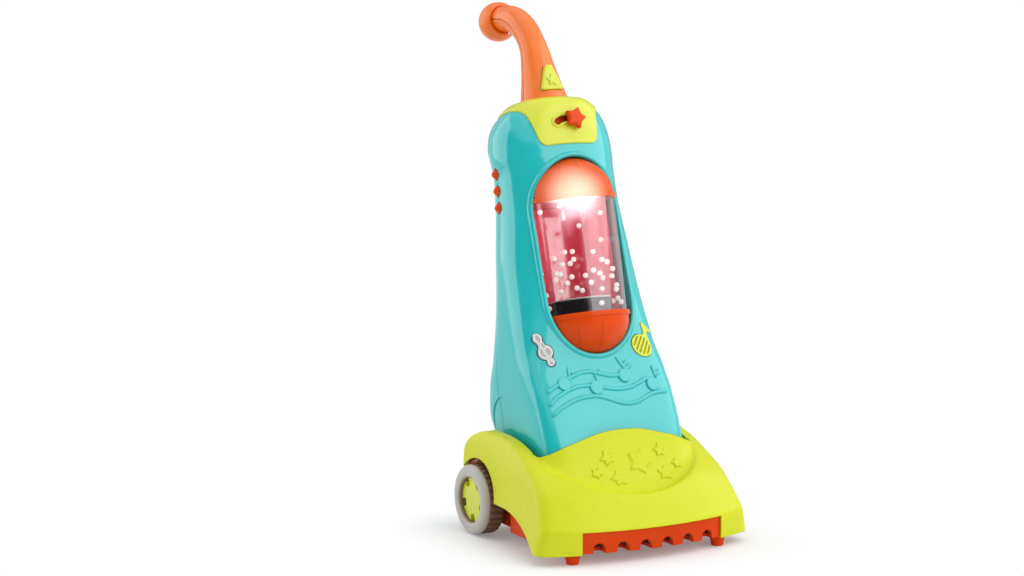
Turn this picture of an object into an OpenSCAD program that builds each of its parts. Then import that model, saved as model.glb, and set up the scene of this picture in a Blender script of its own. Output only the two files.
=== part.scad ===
// Toy upright vacuum cleaner: a floor head on two wheels and two glide feet, and a leaning
// upright with a clear canister, a cap, a bent handle, push buttons and a star lever.
// Millimetres, +Z up, front towards -Y, origin on the floor under the middle of the axle.

/* [Stance] */
// Lean of the upright at rest, in degrees
lean = 15; // [14:0.5:16]
// Height of the recline pivot above the floor
pivot_z = 72; // [71:0.5:74]
// Distance of the recline pivot ahead of the axle
pivot_ahead = 16; // [15:0.5:18]

/* [Wheels] */
// Tyre diameter
wheel_d = 70; // [66:1:72]
// Tyre width
wheel_w = 24; // [20:0.5:25]
// Distance between the outer faces of the two tyres
track_w = 232; // [231:1:238]
// Depth of the ribs on the tread
rib_h = 1.8; // [1:0.1:2.4]
// Number of ribs round a tyre
tyre_ribs = 30; // [20:1:36]
// Hub disc diameter
hub_d = 44; // [38:1:48]
// Depth of the hub face inside the tyre
hub_sink = 5; // [3:0.5:7]
// Axle rod diameter
axle_d = 6; // [5:0.5:7]

/* [Head] */
// Width across the front corners of the cover
head_w = 236; // [234:1:242]
// Distance of the front face ahead of the axle
head_front = 176; // [175:1:180]
// How far the fenders reach behind the axle
fender_back = 30; // [26:1:34]
// Height of the fender ridge
head_top = 104; // [102:1:108]
// Plan radius of the bowed front face
bow_r = 290; // [280:5:320]
// Height of the cover's lower edge above the floor
cover_low = 10; // [9:0.5:11]
// Wall of the cover
cover_wall = 2.4; // [2:0.1:2.8]
// Radius of a wheel arch
arch_r = 41; // [39:0.5:43]
// Width of the opening that the upright stands in
well_w = 172.6; // [172.4:0.2:174]
// Width of the notch for the comb
notch_w = 155; // [140:1:160]
// Height of the notch above the floor
notch_top = 32; // [30:0.5:34]
// Width of the scooped dish
dish_w = 184; // [178:1:186]
// Front edge of the dish ahead of the axle
dish_front = 155; // [150:1:158]
// Raised rear rim of the dish ahead of the axle
rim_ahead = 100.5; // [100:0.5:103]
// Height of that rim in the middle
rim_top = 114.5; // [112:0.5:117]

/* [Base] */
// Thickness of the base plate
plate_t = 3; // [2.5:0.1:4]
// Thickness of the comb
comb_t = 6; // [4:0.5:8]
// Number of arches in the comb
comb_arches = 6; // [4:1:6]
// Pitch of the arches
comb_pitch = 24; // [22:0.5:25]
// Width of an arch
comb_arch_w = 12.5; // [10:0.5:14]
// Height of the arch tops above the floor
comb_arch_top = 20.7; // [19:0.1:23]
// Diameter of a glide foot where it leaves the plate
foot_d = 16; // [13:0.5:18]

/* [Body] */
// Height of the crown above the pivot
body_h = 355; // [345:1:365]
// Greatest width of the body
body_w = 158; // [156:0.5:159]
// Greatest reach of the body ahead of the pivot
body_front = 90; // [88:0.5:91]
// Greatest reach of the body behind the pivot
body_back = 42; // [40:0.5:43]
// Wall of the two shells
shell_wall = 2.4; // [2:0.1:2.8]
// Parting line of the two shells behind the pivot
seam_back = 4; // [3:0.5:5]
// Width of the window
window_w = 96; // [94:0.5:98]
// Length of the window
window_h = 198; // [194:1:200]
// Height of the raised bead round the window
window_bead = 2; // [1:0.1:3]

/* [Canister] */
// Diameter of the clear tube
tube_d = 92; // [90:0.5:92]
// Wall of the clear tube
tube_wall = 1.6; // [1.2:0.1:2]
// Length of the clear tube between the two lips
tube_h = 115; // [110:1:116]
// Height of the middle of the tube above the pivot
tube_mid = 193.5; // [192:0.5:195]
// Tube axis ahead of the pivot
tube_ahead = 44; // [43:0.5:45]
// How far a lip stands proud of the tube
lip_proud = 2; // [1.5:0.1:2.2]
// Height of a dome
dome_h = 45; // [43:0.5:46]
// Diameter of the agitator drum
drum_d = 63; // [56:1:66]
// Height of the agitator drum
drum_h = 15; // [12:0.5:18]
// Number of beads
bead_count = 40; // [20:1:48]
// Bead diameter
bead_d = 5.2; // [4:0.1:5.6]

/* [Cap and handle] */
// Thickness of the lime cap
cap_t = 1.8; // [1.5:0.1:2.2]
// Width of the cap's front tongue
tongue_w = 64; // [60:1:68]
// How far the tongue hangs below the top of the body
tongue_drop = 48; // [44:1:51]
// Diameter of the handle at the cap
handle_base_d = 49; // [46:1:49]
// Diameter of the grip
grip_d = 27; // [25:0.5:29]
// Radius of the bend of the handle
bend_r = 63; // [60:1:66]
// Wall of the handle
handle_wall = 2.2; // [1.8:0.1:2.6]
// Diameter of the end knob
knob_d = 41; // [38:0.5:43]

/* [Controls] */
// Travel of a push button
press = 1.5; // [1:0.1:2]
// Diameter of a side button
side_d = 11; // [9:0.5:12]
// Spacing of the side buttons
side_pitch = 17; // [15:0.5:18]
// Radius of the star
star_r = 11.5; // [10:0.5:12]
// Radius of the slot that the star follows
slot_r = 20; // [18:0.5:22]
// Half of the angle that the slot spans
slot_half = 33; // [28:1:36]
// Diameter of the star's stem
stem_d = 6; // [5:0.5:7]

/* [Fits] */
// Radial clearance of turning pins
run = 0.08; // [0.05:0.01:0.1]
// Clearance round fixed pieces
fit = 0.2; // [0.15:0.05:0.3]
// Clearance round pieces that move
slack = 0.5; // [0.4:0.05:0.6]

/* [Hidden] */
$fn = 48;
// Overrun of every cut past the face that it opens
over = 1;
// Facets of large plan arcs and of hull slices
arc_fn = 180;
hull_fn = 24;
lime = "#cfe03a";
teal = "#35bfb6";
orange = "#f0592a";

// Head, derived
axis_y = bow_r - head_front;
corner_r = 14;
head_half = head_w / 2;
well_half = well_w / 2;
axle_z = wheel_d / 2;
// Rows: height, plan radius of the front, half widths at the front corner and at the back, back end
hood_shares = [
    [0.000, 1.000, 1.000, 0.899, 1.00],
    [0.213, 1.000, 0.970, 0.899, 1.00],
    [0.340, 0.979, 0.945, 0.899, 1.00],
    [0.489, 0.945, 0.915, 0.899, 1.00],
    [0.596, 0.914, 0.898, 0.899, 1.00],
    [0.702, 0.866, 0.877, 0.895, 1.00],
    [0.777, 0.821, 0.862, 0.889, 0.98],
    [0.872, 0.762, 0.843, 0.877, 0.75],
    [0.936, 0.703, 0.830, 0.860, 0.45],
    [0.979, 0.650, 0.814, 0.838, 0.15],
    [1.000, 0.593, 0.797, 0.817, -0.13]
];
hood_rows = len(hood_shares);
dish_half = dish_w / 2;
// Sides of the dish, ahead of the axle, and the height of the rim there
dish_side = 90;
rim_side_z = 92;
dish_columns = 22;
dish_steps = 8;
// Fine step at the dish's front edge, and how far the dish reaches under the hood there
dish_step = 0.5;
dish_under = 0.6;
bow_steps = 12;
corner_steps = 5;
// Part of the dish's width that its columns span, and the pull of its hollow
dish_span_share = 0.96;
hollow_shares = [0.305, 0.276];
cover_floor = cover_wall * sqrt(2);
// Arc under each side of the cover, ahead of the wheel
skirt_r = 37;
skirt_ahead = 98;
// Fender wall above the axle
fender_low = 44;
post_d = 9;
post_places = [[84, -122], [92, -62]];
screw_d = 3;
screw_head_d = 6;
screw_head_h = 1.8;
screw_bite = 8;

// Base, derived
plate_rise = 1;
plate_z = cover_low + plate_rise;
plate_top = plate_z + plate_t;
plate_half = 96;
plate_gap = 1;
plate_back = 22;
cheek_t = 3;
cheek_gap = 0.3;
cheek_out = well_half - cheek_gap;
cheek_in = cheek_out - cheek_t;
cheek_r = 12;
trunnion_d = 14;
side_rim_h = 18;
side_rim_t = 2.4;
side_rim_y = [-138, -52];
comb_sink = 3;
comb_r = bow_r - comb_sink;
foot_x = 81.2;
foot_ahead = 151.4;
foot_tip_share = 0.75;
foot_pin_d = 6;
washer_d = 26;
wheel_in = track_w / 2 - wheel_w;
axle_stop = 7;
axle_end = hub_sink + axle_stop;
hub_wall = 3;
hub_notches = 5;
tyre_rim_share = 0.3;
tyre_round_share = 0.7;

// Body, derived
// Rows: height, half width, front reach, back reach, squareness of the section
body_shares = [
    [-0.056, 0.987, 0.972, 0.590, 8],
    [0.000, 1.000, 1.000, 0.705, 8],
    [0.056, 1.000, 0.972, 0.743, 8],
    [0.149, 1.000, 0.894, 1.000, 8],
    [0.214, 1.000, 0.817, 0.925, 6.5],
    [0.299, 0.975, 0.758, 0.810, 4.2],
    [0.442, 0.924, 0.748, 0.705, 2.8],
    [0.555, 0.885, 0.746, 0.695, 2.4],
    [0.727, 0.800, 0.740, 0.630, 2.3],
    [0.808, 0.789, 0.734, 0.555, 2.3],
    [0.842, 0.806, 0.722, 0.571, 2.3],
    [0.879, 0.801, 0.706, 0.631, 2.4],
    [0.918, 0.773, 0.684, 0.579, 2.4],
    [0.946, 0.722, 0.664, 0.479, 2.4],
    [0.968, 0.645, 0.645, 0.320, 2.4],
    [0.983, 0.566, 0.620, 0.195, 2.4],
    [0.994, 0.475, 0.578, 0.110, 2.3],
    [1.000, 0.316, 0.494, 0.067, 2.2]
];
body_rows = len(body_shares);
ring_points = 36;
// First row of the form that the cap is drawn on
cap_row = 9;
body_half = body_w / 2;
pivot_y = -pivot_ahead;
tube_r = tube_d / 2;
lip_r = tube_r + lip_proud;
tube_low = tube_mid - tube_h / 2;
tube_high = tube_mid + tube_h / 2;
lip_h = 4;
lip_seat = 3;
dome_wall = 2;
dome_proud = 0.5;
dome_rim_r = tube_r + dome_proud;
window_rise = 1.5;
window_mid = tube_mid + window_rise;
window_end_share = 0.27;
window_step = 12;
cradle_t = 3;
led_d = 5;
led_ahead = -30;
shaft_d = 4;
motor_d = 24;
motor_h = 28;
motor_bore = 10;
drum_gap = 1;
drum_wall = 2;
bead_flying = floor(bead_count / 2);
golden_turn = 137.5;
cradle_in = 12;
cradle_half = 30;
// The shells' screws, as shares: distance from the middle, and height above the pivot
boss_shares = [[0.7342, 0.1859], [0.7215, 0.4845], [0.6456, 0.7549]];
boss_places = [for (place = boss_shares) [place[0] * body_half, place[1] * body_h]];
boss_d = 8;
front_boss_reach = 12;
screw_sink = 5;

// Battery bay, derived
cell_d = 14.5;
cell_l = 50.5;
cell_back = 16;
cell_low = 32;
cell_gap = 1.5;
cell_pitch = cell_d + cell_gap;
cell_count = 3;
bay_wall = 2;
cell_end = 6;
bay_half = cell_l / 2 + cell_end;
bay_low = cell_low - cell_d / 2 - bay_wall;
bay_high = cell_low + (cell_count - 1) * cell_pitch + cell_d / 2 + bay_wall;
bay_front = cell_back - cell_d / 2 - bay_wall;
bay_back = cell_back + cell_d / 2;
door_w = 2 * bay_half + 2 * bay_wall;
door_lug_w = 10;
door_lug_h = 9;
door_high = bay_high + door_lug_h + bay_wall;
door_screw_w = bay_high + door_lug_h / 2;
chassis_d = 20;
chassis_gap = 4;
chassis_half = body_half - shell_wall - chassis_gap;
spring_d = 7;

// Board and sound, derived
board_t = 1.6;
board_half = 34;
board_low = 28;
board_high = 78;
board_ahead = 56;
board_post_d = 6;
speaker_d = 22;
speaker_h = 9;
speaker_rim = 3;
speaker_sink = 5;
magnet_share = 0.6;

// Cap and handle, derived
tongue_r = 8;
tongue_low = body_h - tongue_drop;
saddle_drop = 9;
saddle_low = body_h - saddle_drop;
saddle_back_drop = 17;
saddle_back_low = body_h - saddle_back_drop;
handle_ahead = 20.8;
handle_foot = body_h + cap_t;
handle_rise = 45;
bend_turn = 84;
bend_steps = 12;
rise_steps = 4;
neck_tilt = 8;
grip_start_share = 0.62;
neck_ease = 1.6;
grip_gain = 1.4;
spigot_d = 34;
spigot_h = 12;
handle_screw_shares = [0.12, 0.42, 0.82];

// Controls, derived
panel_tilt = 8;
slot_w = stem_d + 2 * slack;
slot_drop = 22;
slot_mid_w = body_h - slot_drop;
star_at = 21;
star_h = 6;
star_waist_share = 0.6;
star_lift = 2.5;
lever_t = 2;
lever_w = 10;
pin_d = 4;
button_flange = 1.5;
button_flange_t = 1.5;
handle_button_w = 23;
handle_button_top_w = 8;
handle_button_h = 26;
handle_button_rise = 22.2;
handle_button_mid = handle_foot + handle_button_rise;
handle_button_proud = 1.6;
handle_button_share = 0.24;
handle_button_tilt = 8.3;
button_depth = 9;
clef_at = [-56, 105];
clef_turn = -22;
clef_proud = 1.4;
clef_h = 36;
clef_stem_w = 6.4;
// Rows: height of a ball on the clef, and its radius
clef_shares = [[0.361, 0.128], [-0.083, 0.211], [-0.403, 0.111]];
button_sink = 3.4;
note_at = [50, 101];
note_turn = 12;
note_r = 10.5;
note_squash_share = 0.86;
note_slots = 5;
note_slot_shares = [1.1, 1.5, 1.6, 1.5, 1.1];
note_slot_w = 1.5;
note_stem_w = 3;
note_stem_h = 25;
note_flag = 7;
note_t = 3;
note_proud = 1;
side_drop = 68;
side_top_w = body_h - side_drop;
side_ahead = 16;
side_proud = 4.6;
// Rows: radius and height of the pointed dome
side_shares = [[0, 1], [0.33, 0.86], [0.72, 0.45], [1, 0]];
side_recess_w = 44;
side_recess_top = 66;
side_recess = 1.2;

// Places a piece in the leaning frame of the upright, whose origin is the recline pivot
module upright() {
    translate([0, pivot_y, pivot_z])
        rotate([-lean, 0, 0])
            children();
}

// Draws its children on both sides of the middle plane
module both_sides() {
    for (side = [0, 1])
        mirror([side, 0, 0])
            children();
}

// A bar along X between two distances from the middle plane
module cross_bar(y, z, r, x0, x1) {
    translate([x0, y, z])
        rotate([0, 90, 0])
            cylinder(h = x1 - x0, r = r);
}

// Forms of the head

function level_z(i) = cover_low + hood_shares[i][0] * (head_top - cover_low);
function level_r(i) = hood_shares[i][1] * bow_r;
hood_curve = [for (i = [hood_rows - 1:-1:1]) [level_r(i), level_z(i)]];
function hood_z(x, y) = lookup(norm([x, axis_y - y]), hood_curve);

// Points of one level of the hood: the bowed front, its two rounded corners and the back
function level_points(i, inset) =
    let (
        r = level_r(i) - inset,
        z = level_z(i),
        half = hood_shares[i][2] * head_half - inset,
        back = hood_shares[i][3] * head_half - inset,
        end = hood_shares[i][4] * fender_back,
        turn_x = half - corner_r,
        turn_y = axis_y - sqrt(pow(r - corner_r, 2) - pow(turn_x, 2)),
        sweep = atan2(turn_x, axis_y - turn_y)
    )
    concat(
        [for (k = [-bow_steps:bow_steps])
            let (a = k * sweep / bow_steps)
            [r * sin(a), axis_y - r * cos(a), z]],
        [for (side = [-1, 1], k = [1:corner_steps])
            let (a = sweep + k * (90 - sweep) / corner_steps)
            [side * (turn_x + corner_r * sin(a)), turn_y - corner_r * cos(a), z]],
        [[back, end, z], [-back, end, z]]
    );

// Convex pieces between neighbouring rings of points
module loft(rings) {
    n = len(rings[0]);
    for (i = [0:len(rings) - 2])
        hull()
            polyhedron(
                concat(rings[i], rings[i + 1]),
                [[for (k = [0:n - 1]) k], [for (k = [n:2 * n - 1]) k]]
            );
}

// The convex hood, drawn through its levels
module head_form(inset) {
    loft([for (i = [0:hood_rows - 1]) level_points(i, inset)]);
}

function dish_edge_y(x) =
    -dish_side - (dish_front - dish_side) * sqrt(max(0, 1 - pow(x / dish_half, 2)));
function rim_z(x) =
    rim_side_z + (rim_top - rim_side_z) * sqrt(max(0, 1 - pow(x / dish_half, 2)));
function bend(a, b, c, t) = pow(1 - t, 2) * a + 2 * t * (1 - t) * b + t * t * c;
function dish_x(i) = dish_half * dish_span_share * (2 * i / dish_columns - 1);
function dish_point(x, t) =
    let (
        edge = dish_edge_y(x),
        low = hood_z(x, edge) - dish_step,
        pull_y = -rim_ahead + hollow_shares[0] * (edge + rim_ahead),
        pull_z = low + hollow_shares[1] * (rim_z(x) - low)
    )
    [x, bend(-rim_ahead, pull_y, edge, t), bend(rim_z(x), pull_z, low, t)];

// Faces of a block over a grid of a by b points, with its upper points first
function block_faces(a, b) =
    let (n = a * b, top = function(i, j) i * b + j, low = function(i, j) n + i * b + j)
    concat(
        [for (i = [0:a - 2], j = [0:b - 2]) [top(i, j), top(i + 1, j), top(i, j + 1)]],
        [for (i = [0:a - 2], j = [0:b - 2]) [top(i + 1, j), top(i + 1, j + 1), top(i, j + 1)]],
        [for (i = [0:a - 2], j = [0:b - 2]) [low(i, j), low(i, j + 1), low(i + 1, j)]],
        [for (i = [0:a - 2], j = [0:b - 2]) [low(i + 1, j), low(i, j + 1), low(i + 1, j + 1)]],
        [for (i = [0:a - 2]) [top(i, 0), low(i, 0), low(i + 1, 0), top(i + 1, 0)]],
        [for (i = [0:a - 2]) [top(i, b - 1), top(i + 1, b - 1), low(i + 1, b - 1), low(i, b - 1)]],
        [for (j = [0:b - 2]) [top(0, j), top(0, j + 1), low(0, j + 1), low(0, j)]],
        [for (j = [0:b - 2]) [top(a - 1, j), low(a - 1, j), low(a - 1, j + 1), top(a - 1, j + 1)]]
    );

// The block under the dish, from its raised rim to its front edge
module dish_block() {
    grid = [for (i = [0:dish_columns], k = [0:dish_steps]) dish_point(dish_x(i), k / dish_steps)];
    floor_points = [for (p = grid) [p[0], p[1], cover_low]];
    polyhedron(concat(grid, floor_points), block_faces(dish_columns + 1, dish_steps + 1));
}

// The plan region that the dish takes from the hood
module dish_zone() {
    half = dish_x(dish_columns) - dish_under;
    fill = (half + dish_under) / half;
    linear_extrude(rim_top + over)
        polygon(concat(
            [for (i = [0:dish_columns])
                [dish_x(i) / fill, dish_edge_y(dish_x(i)) + dish_under]],
            [[half, -rim_ahead + over], [-half, -rim_ahead + over]]
        ));
}

// The solid under the cover's outside, or under its inside
module head_solid(inset) {
    difference() {
        head_form(inset);
        dish_zone();
    }
    dish_block();
}

module wheel_arch() {
    both_sides()
        cross_bar(0, axle_z, arch_r, well_half + cover_wall, head_w);
}

module head_cover() {
    color(lime)
        difference() {
            head_solid(0);
            difference() {
                translate([0, 0, -cover_floor])
                    head_solid(cover_wall);
                both_sides()
                    translate([well_half, -rim_ahead, fender_low])
                        cube([cover_wall, rim_ahead + fender_back, head_top]);
                for (place = post_places)
                    both_sides()
                        translate([place[0], place[1], plate_top])
                            cylinder(h = head_top, d = post_d, $fn = hull_fn);
            }
            translate([-well_half, -rim_ahead, 0])
                cube([well_w, rim_ahead + fender_back + over, rim_top + over]);
            wheel_arch();
            translate([-notch_w / 2, -head_front - over, 0])
                cube([notch_w, head_front - dish_front + over, notch_top]);
            both_sides() {
                cross_bar(-skirt_ahead, 0, skirt_r, well_half, head_w);
                translate([well_half, -skirt_ahead, 0])
                    cube([head_half, skirt_ahead + fender_back + over, skirt_r]);
                for (place = post_places)
                    translate([place[0], place[1], 0])
                        cylinder(h = plate_top + screw_bite, d = screw_d + fit, $fn = hull_fn);
            }
        }
}

// Base

module base_outline() {
    intersection() {
        translate([0, axis_y])
            circle(r = bow_r - cover_wall - plate_gap);
        polygon([
            [-plate_half, -bow_r], [plate_half, -bow_r], [plate_half, side_rim_y[1]],
            [cheek_out, side_rim_y[1] + cheek_r], [cheek_out, plate_back],
            [-cheek_out, plate_back], [-cheek_out, side_rim_y[1] + cheek_r],
            [-plate_half, side_rim_y[1]]
        ]);
    }
}

// Upright cheek that carries the axle and the recline trunnion
module cheek() {
    translate([cheek_in, 0, 0])
        rotate([90, 0, 90])
            linear_extrude(cheek_t)
                hull() {
                    translate([-pivot_ahead, pivot_z])
                        circle(r = cheek_r, $fn = hull_fn);
                    translate([-pivot_ahead - cheek_r, plate_z])
                        square([pivot_ahead + 2 * cheek_r, plate_t]);
                    translate([0, axle_z])
                        circle(r = cheek_r, $fn = hull_fn);
                }
}

module comb() {
    difference() {
        intersection() {
            translate([0, axis_y, plate_z])
                difference() {
                    cylinder(h = notch_top - plate_z - fit, r = comb_r);
                    translate([0, 0, -over])
                        cylinder(h = notch_top + over, r = comb_r - comb_t);
                }
            translate([-notch_w / 2 + fit, -head_front, 0])
                cube([notch_w - 2 * fit, head_front - dish_front + comb_t, notch_top]);
        }
        for (k = [0:comb_arches - 1])
            translate([(k - (comb_arches - 1) / 2) * comb_pitch, -dish_front + comb_t, 0])
                comb_arch();
    }
}

module comb_arch() {
    translate([0, 0, comb_arch_top - comb_arch_w / 2])
        rotate([90, 0, 0])
            cylinder(h = head_front, d = comb_arch_w);
    translate([-comb_arch_w / 2, -head_front, 0])
        cube([comb_arch_w, head_front, comb_arch_top - comb_arch_w / 2]);
}

module base_plate() {
    color(orange)
        difference() {
            union() {
                difference() {
                    translate([0, 0, plate_z])
                        linear_extrude(plate_t)
                            base_outline();
                    for (k = [0:comb_arches - 1])
                        translate([(k - (comb_arches - 1) / 2) * comb_pitch, -dish_front, 0])
                            comb_arch();
                }
                comb();
                both_sides() {
                    cheek();
                    translate([plate_half - side_rim_t, side_rim_y[0], plate_z])
                        cube([side_rim_t, side_rim_y[1] - side_rim_y[0], side_rim_h]);
                }
            }
            cross_bar(0, axle_z, axle_d / 2 + run, -head_half, head_half);
            cross_bar(pivot_y, pivot_z, trunnion_d / 2 + run, -head_half, head_half);
            both_sides() {
                for (place = post_places)
                    translate([place[0], place[1], 0])
                        cylinder(h = plate_top + over, d = screw_d + fit);
                for (place = post_places)
                    translate([place[0], place[1], 0])
                        cylinder(h = plate_z + screw_head_h / 2, d = screw_head_d + 2 * fit);
                translate([foot_x, -foot_ahead, 0])
                    cylinder(h = plate_top + over, d = foot_pin_d + 2 * fit);
            }
        }
}

module glide_foot(x) {
    color(orange)
        translate([x, -foot_ahead, 0]) {
            cylinder(h = plate_z, d1 = foot_d * foot_tip_share, d2 = foot_d);
            cylinder(h = plate_top, d = foot_pin_d);
        }
}

module glide_foot_left() {
    glide_foot(-foot_x);
}

module glide_foot_right() {
    glide_foot(foot_x);
}

module base_screws() {
    color("silver")
        for (place = post_places)
            both_sides()
                translate([place[0], place[1], plate_z + screw_head_h / 2]) {
                    translate([0, 0, -screw_head_h])
                        cylinder(h = screw_head_h, d = screw_head_d);
                    cylinder(h = plate_t + screw_bite - screw_head_h, d = screw_d);
                }
}

module axle_rod() {
    color("silver")
        cross_bar(0, axle_z, axle_d / 2, axle_end - track_w / 2, track_w / 2 - axle_end);
}

module hinge_washer(side) {
    inner = body_half + slack;
    color("dimgray")
        mirror([side, 0, 0])
            difference() {
                cross_bar(pivot_y, pivot_z, washer_d / 2, inner, cheek_in);
                cross_bar(pivot_y, pivot_z, trunnion_d / 2 + slack, inner - over, cheek_in + over);
            }
}

module hinge_washer_left() {
    hinge_washer(1);
}

module hinge_washer_right() {
    hinge_washer(0);
}

// Wheels, drawn about the axle with the outer face up, then laid on their side

module on_axle(side) {
    mirror([side, 0, 0])
        translate([wheel_in, 0, axle_z])
            rotate([0, 90, 0])
                children();
}

module tyre(side) {
    rim_w = wheel_w * tyre_rim_share;
    tread_w = wheel_w - rim_w;
    round_r = rim_w * tyre_round_share;
    rib_w = PI * wheel_d / tyre_ribs / 2;
    outer = wheel_d / 2;
    inner = hub_d / 2;
    color("#a9a49c")
        on_axle(side) {
            rotate_extrude($fn = arc_fn) {
                translate([inner, 0])
                    square([outer - rib_h - inner, tread_w]);
                translate([inner, tread_w])
                    square([outer - inner, rim_w - round_r]);
                translate([inner + round_r / 2, wheel_w - round_r])
                    square([outer - inner - round_r * 3 / 2, round_r]);
                translate([outer - round_r, wheel_w - round_r])
                    circle(r = round_r);
                translate([inner, tread_w])
                    square([round_r, rim_w - round_r / 2]);
            }
            for (k = [1:tyre_ribs])
                rotate([0, 0, k * 360 / tyre_ribs])
                    translate([outer - 2 * rib_h, -rib_w / 2, rib_h / 2])
                        cube([2 * rib_h - pow(rib_w / 2, 2) / wheel_d, rib_w, tread_w]);
        }
}

module tyre_left() {
    tyre(1);
}

module tyre_right() {
    tyre(0);
}

module hub(side) {
    face_h = wheel_w - hub_sink;
    notch_d = hub_d / 5;
    color(lime)
        on_axle(side)
            difference() {
                cylinder(h = face_h, d = hub_d - fit / 2, $fn = arc_fn);
                translate([0, 0, -over])
                    cylinder(h = face_h - hub_wall + over, d = axle_d + 2 * run);
                for (k = [1:hub_notches])
                    rotate([0, 0, k * 360 / hub_notches])
                        translate([hub_d / 2 - notch_d / 3, 0, face_h - hub_wall])
                            cylinder(h = hub_wall + over, d = notch_d);
            }
}

module hub_left() {
    hub(1);
}

module hub_right() {
    hub(0);
}

// Forms of the upright

function body_row(i, k) = body_shares[i][k];
function body_key(k) = [for (i = [0:body_rows - 1]) [body_row(i, 0) * body_h, body_row(i, k)]];
half_key = body_key(1);
front_key = body_key(2);
back_key = body_key(3);
square_key = body_key(4);
function half_at(w) = body_half * lookup(w, half_key);
function front_at(w) = -body_front * lookup(w, front_key);
function back_at(w) = body_back * lookup(w, back_key);
function square_at(w) = lookup(w, square_key);
function mid_at(w) = (front_at(w) + back_at(w)) / 2;
function deep_at(w) = (back_at(w) - front_at(w)) / 2;
// Front face of the body at a width and a height, and the way that it faces there
function skin_y(x, w) =
    mid_at(w) - deep_at(w) * pow(1 - pow(min(1, abs(x) / half_at(w)), square_at(w)), 1 / square_at(w));
function skin_turn(x, w) = atan2(skin_y(x + over, w) - skin_y(x - over, w), 2 * over);
function skin_tilt(x, w) =
    atan2(skin_y(x, w + over) - skin_y(x, w - over), 2 * over) * cos(skin_turn(x, w));

module on_skin(x, w) {
    translate([x, skin_y(x, w), w])
        rotate([0, 0, skin_turn(x, w)])
            rotate([90 - skin_tilt(x, w), 0, 0])
                children();
}

// Outline of the body at one row, drawn in by an inset
function ring(i, inset) =
    let (
        w = body_row(i, 0) * body_h,
        half = half_at(w) - inset,
        deep = deep_at(w) - inset,
        power = 2 / square_at(w)
    )
    [for (k = [0:ring_points - 1])
        let (a = k * 360 / ring_points)
        [
            half * sign(cos(a)) * pow(abs(cos(a)), power),
            mid_at(w) + deep * sign(sin(a)) * pow(abs(sin(a)), power),
            w - (i == body_rows - 1 ? inset : 0)
        ]];

// The body's form from one of its rows up
module body_form(inset, first = 0) {
    loft([for (i = [first:body_rows - 1]) ring(i, inset)]);
}

module body_skin() {
    difference() {
        body_form(0);
        body_form(shell_wall);
        translate([-body_half, -body_front, body_row(0, 0) * body_h - over])
            cube([body_w, body_front + body_back, over + shell_wall]);
    }
}

// Window outline: straight sides with half ellipses at the ends
module window_shape(grow) {
    half = window_w / 2 + grow;
    end = window_h * window_end_share + grow;
    run_h = window_h / 2 - window_h * window_end_share;
    polygon(concat(
        [for (a = [0:window_step:180]) [half * cos(a), run_h + end * sin(a)]],
        [for (a = [180:window_step:360]) [half * cos(a), -run_h + end * sin(a)]]
    ));
}

module window_prism(grow) {
    translate([0, -tube_ahead, window_mid])
        rotate([90, 0, 0])
            linear_extrude(body_front)
                window_shape(grow);
}

module front_half() {
    translate([-body_w, -2 * body_front, -body_h])
        cube([2 * body_w, 2 * body_front + seam_back, 3 * body_h]);
}

module trunnion_holes(grow) {
    cross_bar(0, 0, trunnion_d / 2 + grow, -body_w, body_w);
}

// Shallow arched recess on each lower side of the body
module side_recess_shape() {
    both_sides()
        translate([body_half - side_recess, 0, 0])
            rotate([90, 0, 90])
                linear_extrude(body_half)
                    union() {
                        translate([0, side_recess_top - side_recess_w / 2])
                            circle(d = side_recess_w, $fn = hull_fn);
                        translate([-side_recess_w / 2, -body_h])
                            square([side_recess_w, body_h + side_recess_top - side_recess_w / 2]);
                    }
}

module handle_hole() {
    translate([0, -handle_ahead, saddle_back_low])
        cylinder(h = body_h, d = spigot_d + 2 * fit, $fn = hull_fn);
}

module front_shell() {
    color(teal)
        upright()
            difference() {
                union() {
                    difference() {
                        intersection() {
                            body_skin();
                            front_half();
                        }
                        side_recess_shape();
                    }
                    intersection() {
                        difference() {
                            body_form(-window_bead);
                            body_form(shell_wall);
                        }
                        difference() {
                            window_prism(2 * window_bead);
                            window_prism(0);
                        }
                    }
                    intersection() {
                        body_form(shell_wall / 2);
                        front_bosses();
                    }
                }
                window_prism(0);
                translate([0, -tube_ahead, tube_low - lip_h - fit])
                    cylinder(h = tube_h + 2 * (lip_h + fit), r = lip_r + fit, $fn = arc_fn / 2);
                translate([0, -tube_ahead, tube_high])
                    dome_room();
                translate([0, -tube_ahead, tube_low])
                    mirror([0, 0, 1])
                        dome_room();
                trunnion_holes(fit);
                handle_hole();
                for (place = boss_places)
                    both_sides()
                        translate([place[0], 0, place[1]])
                            rotate([90, 0, 0])
                                cylinder(h = front_boss_reach, d = screw_d + fit, center = true,
                                    $fn = hull_fn);
                on_skin(clef_at[0], clef_at[1])
                    linear_extrude(4 * shell_wall, center = true)
                        clef_shape(slack);
                on_skin(note_at[0], note_at[1])
                    linear_extrude(4 * shell_wall, center = true)
                        note_outline(fit);
                for (k = [0:2])
                    side_button_place(k)
                        cylinder(h = 6 * shell_wall, d = side_d + 2 * slack, center = true,
                            $fn = hull_fn);
                star_window();
                star_place()
                    translate([0, 0, -cap_t - shell_wall - lever_t - over])
                        cylinder(h = body_half, d = pin_d + fit, center = true, $fn = hull_fn);
            }
}

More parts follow.
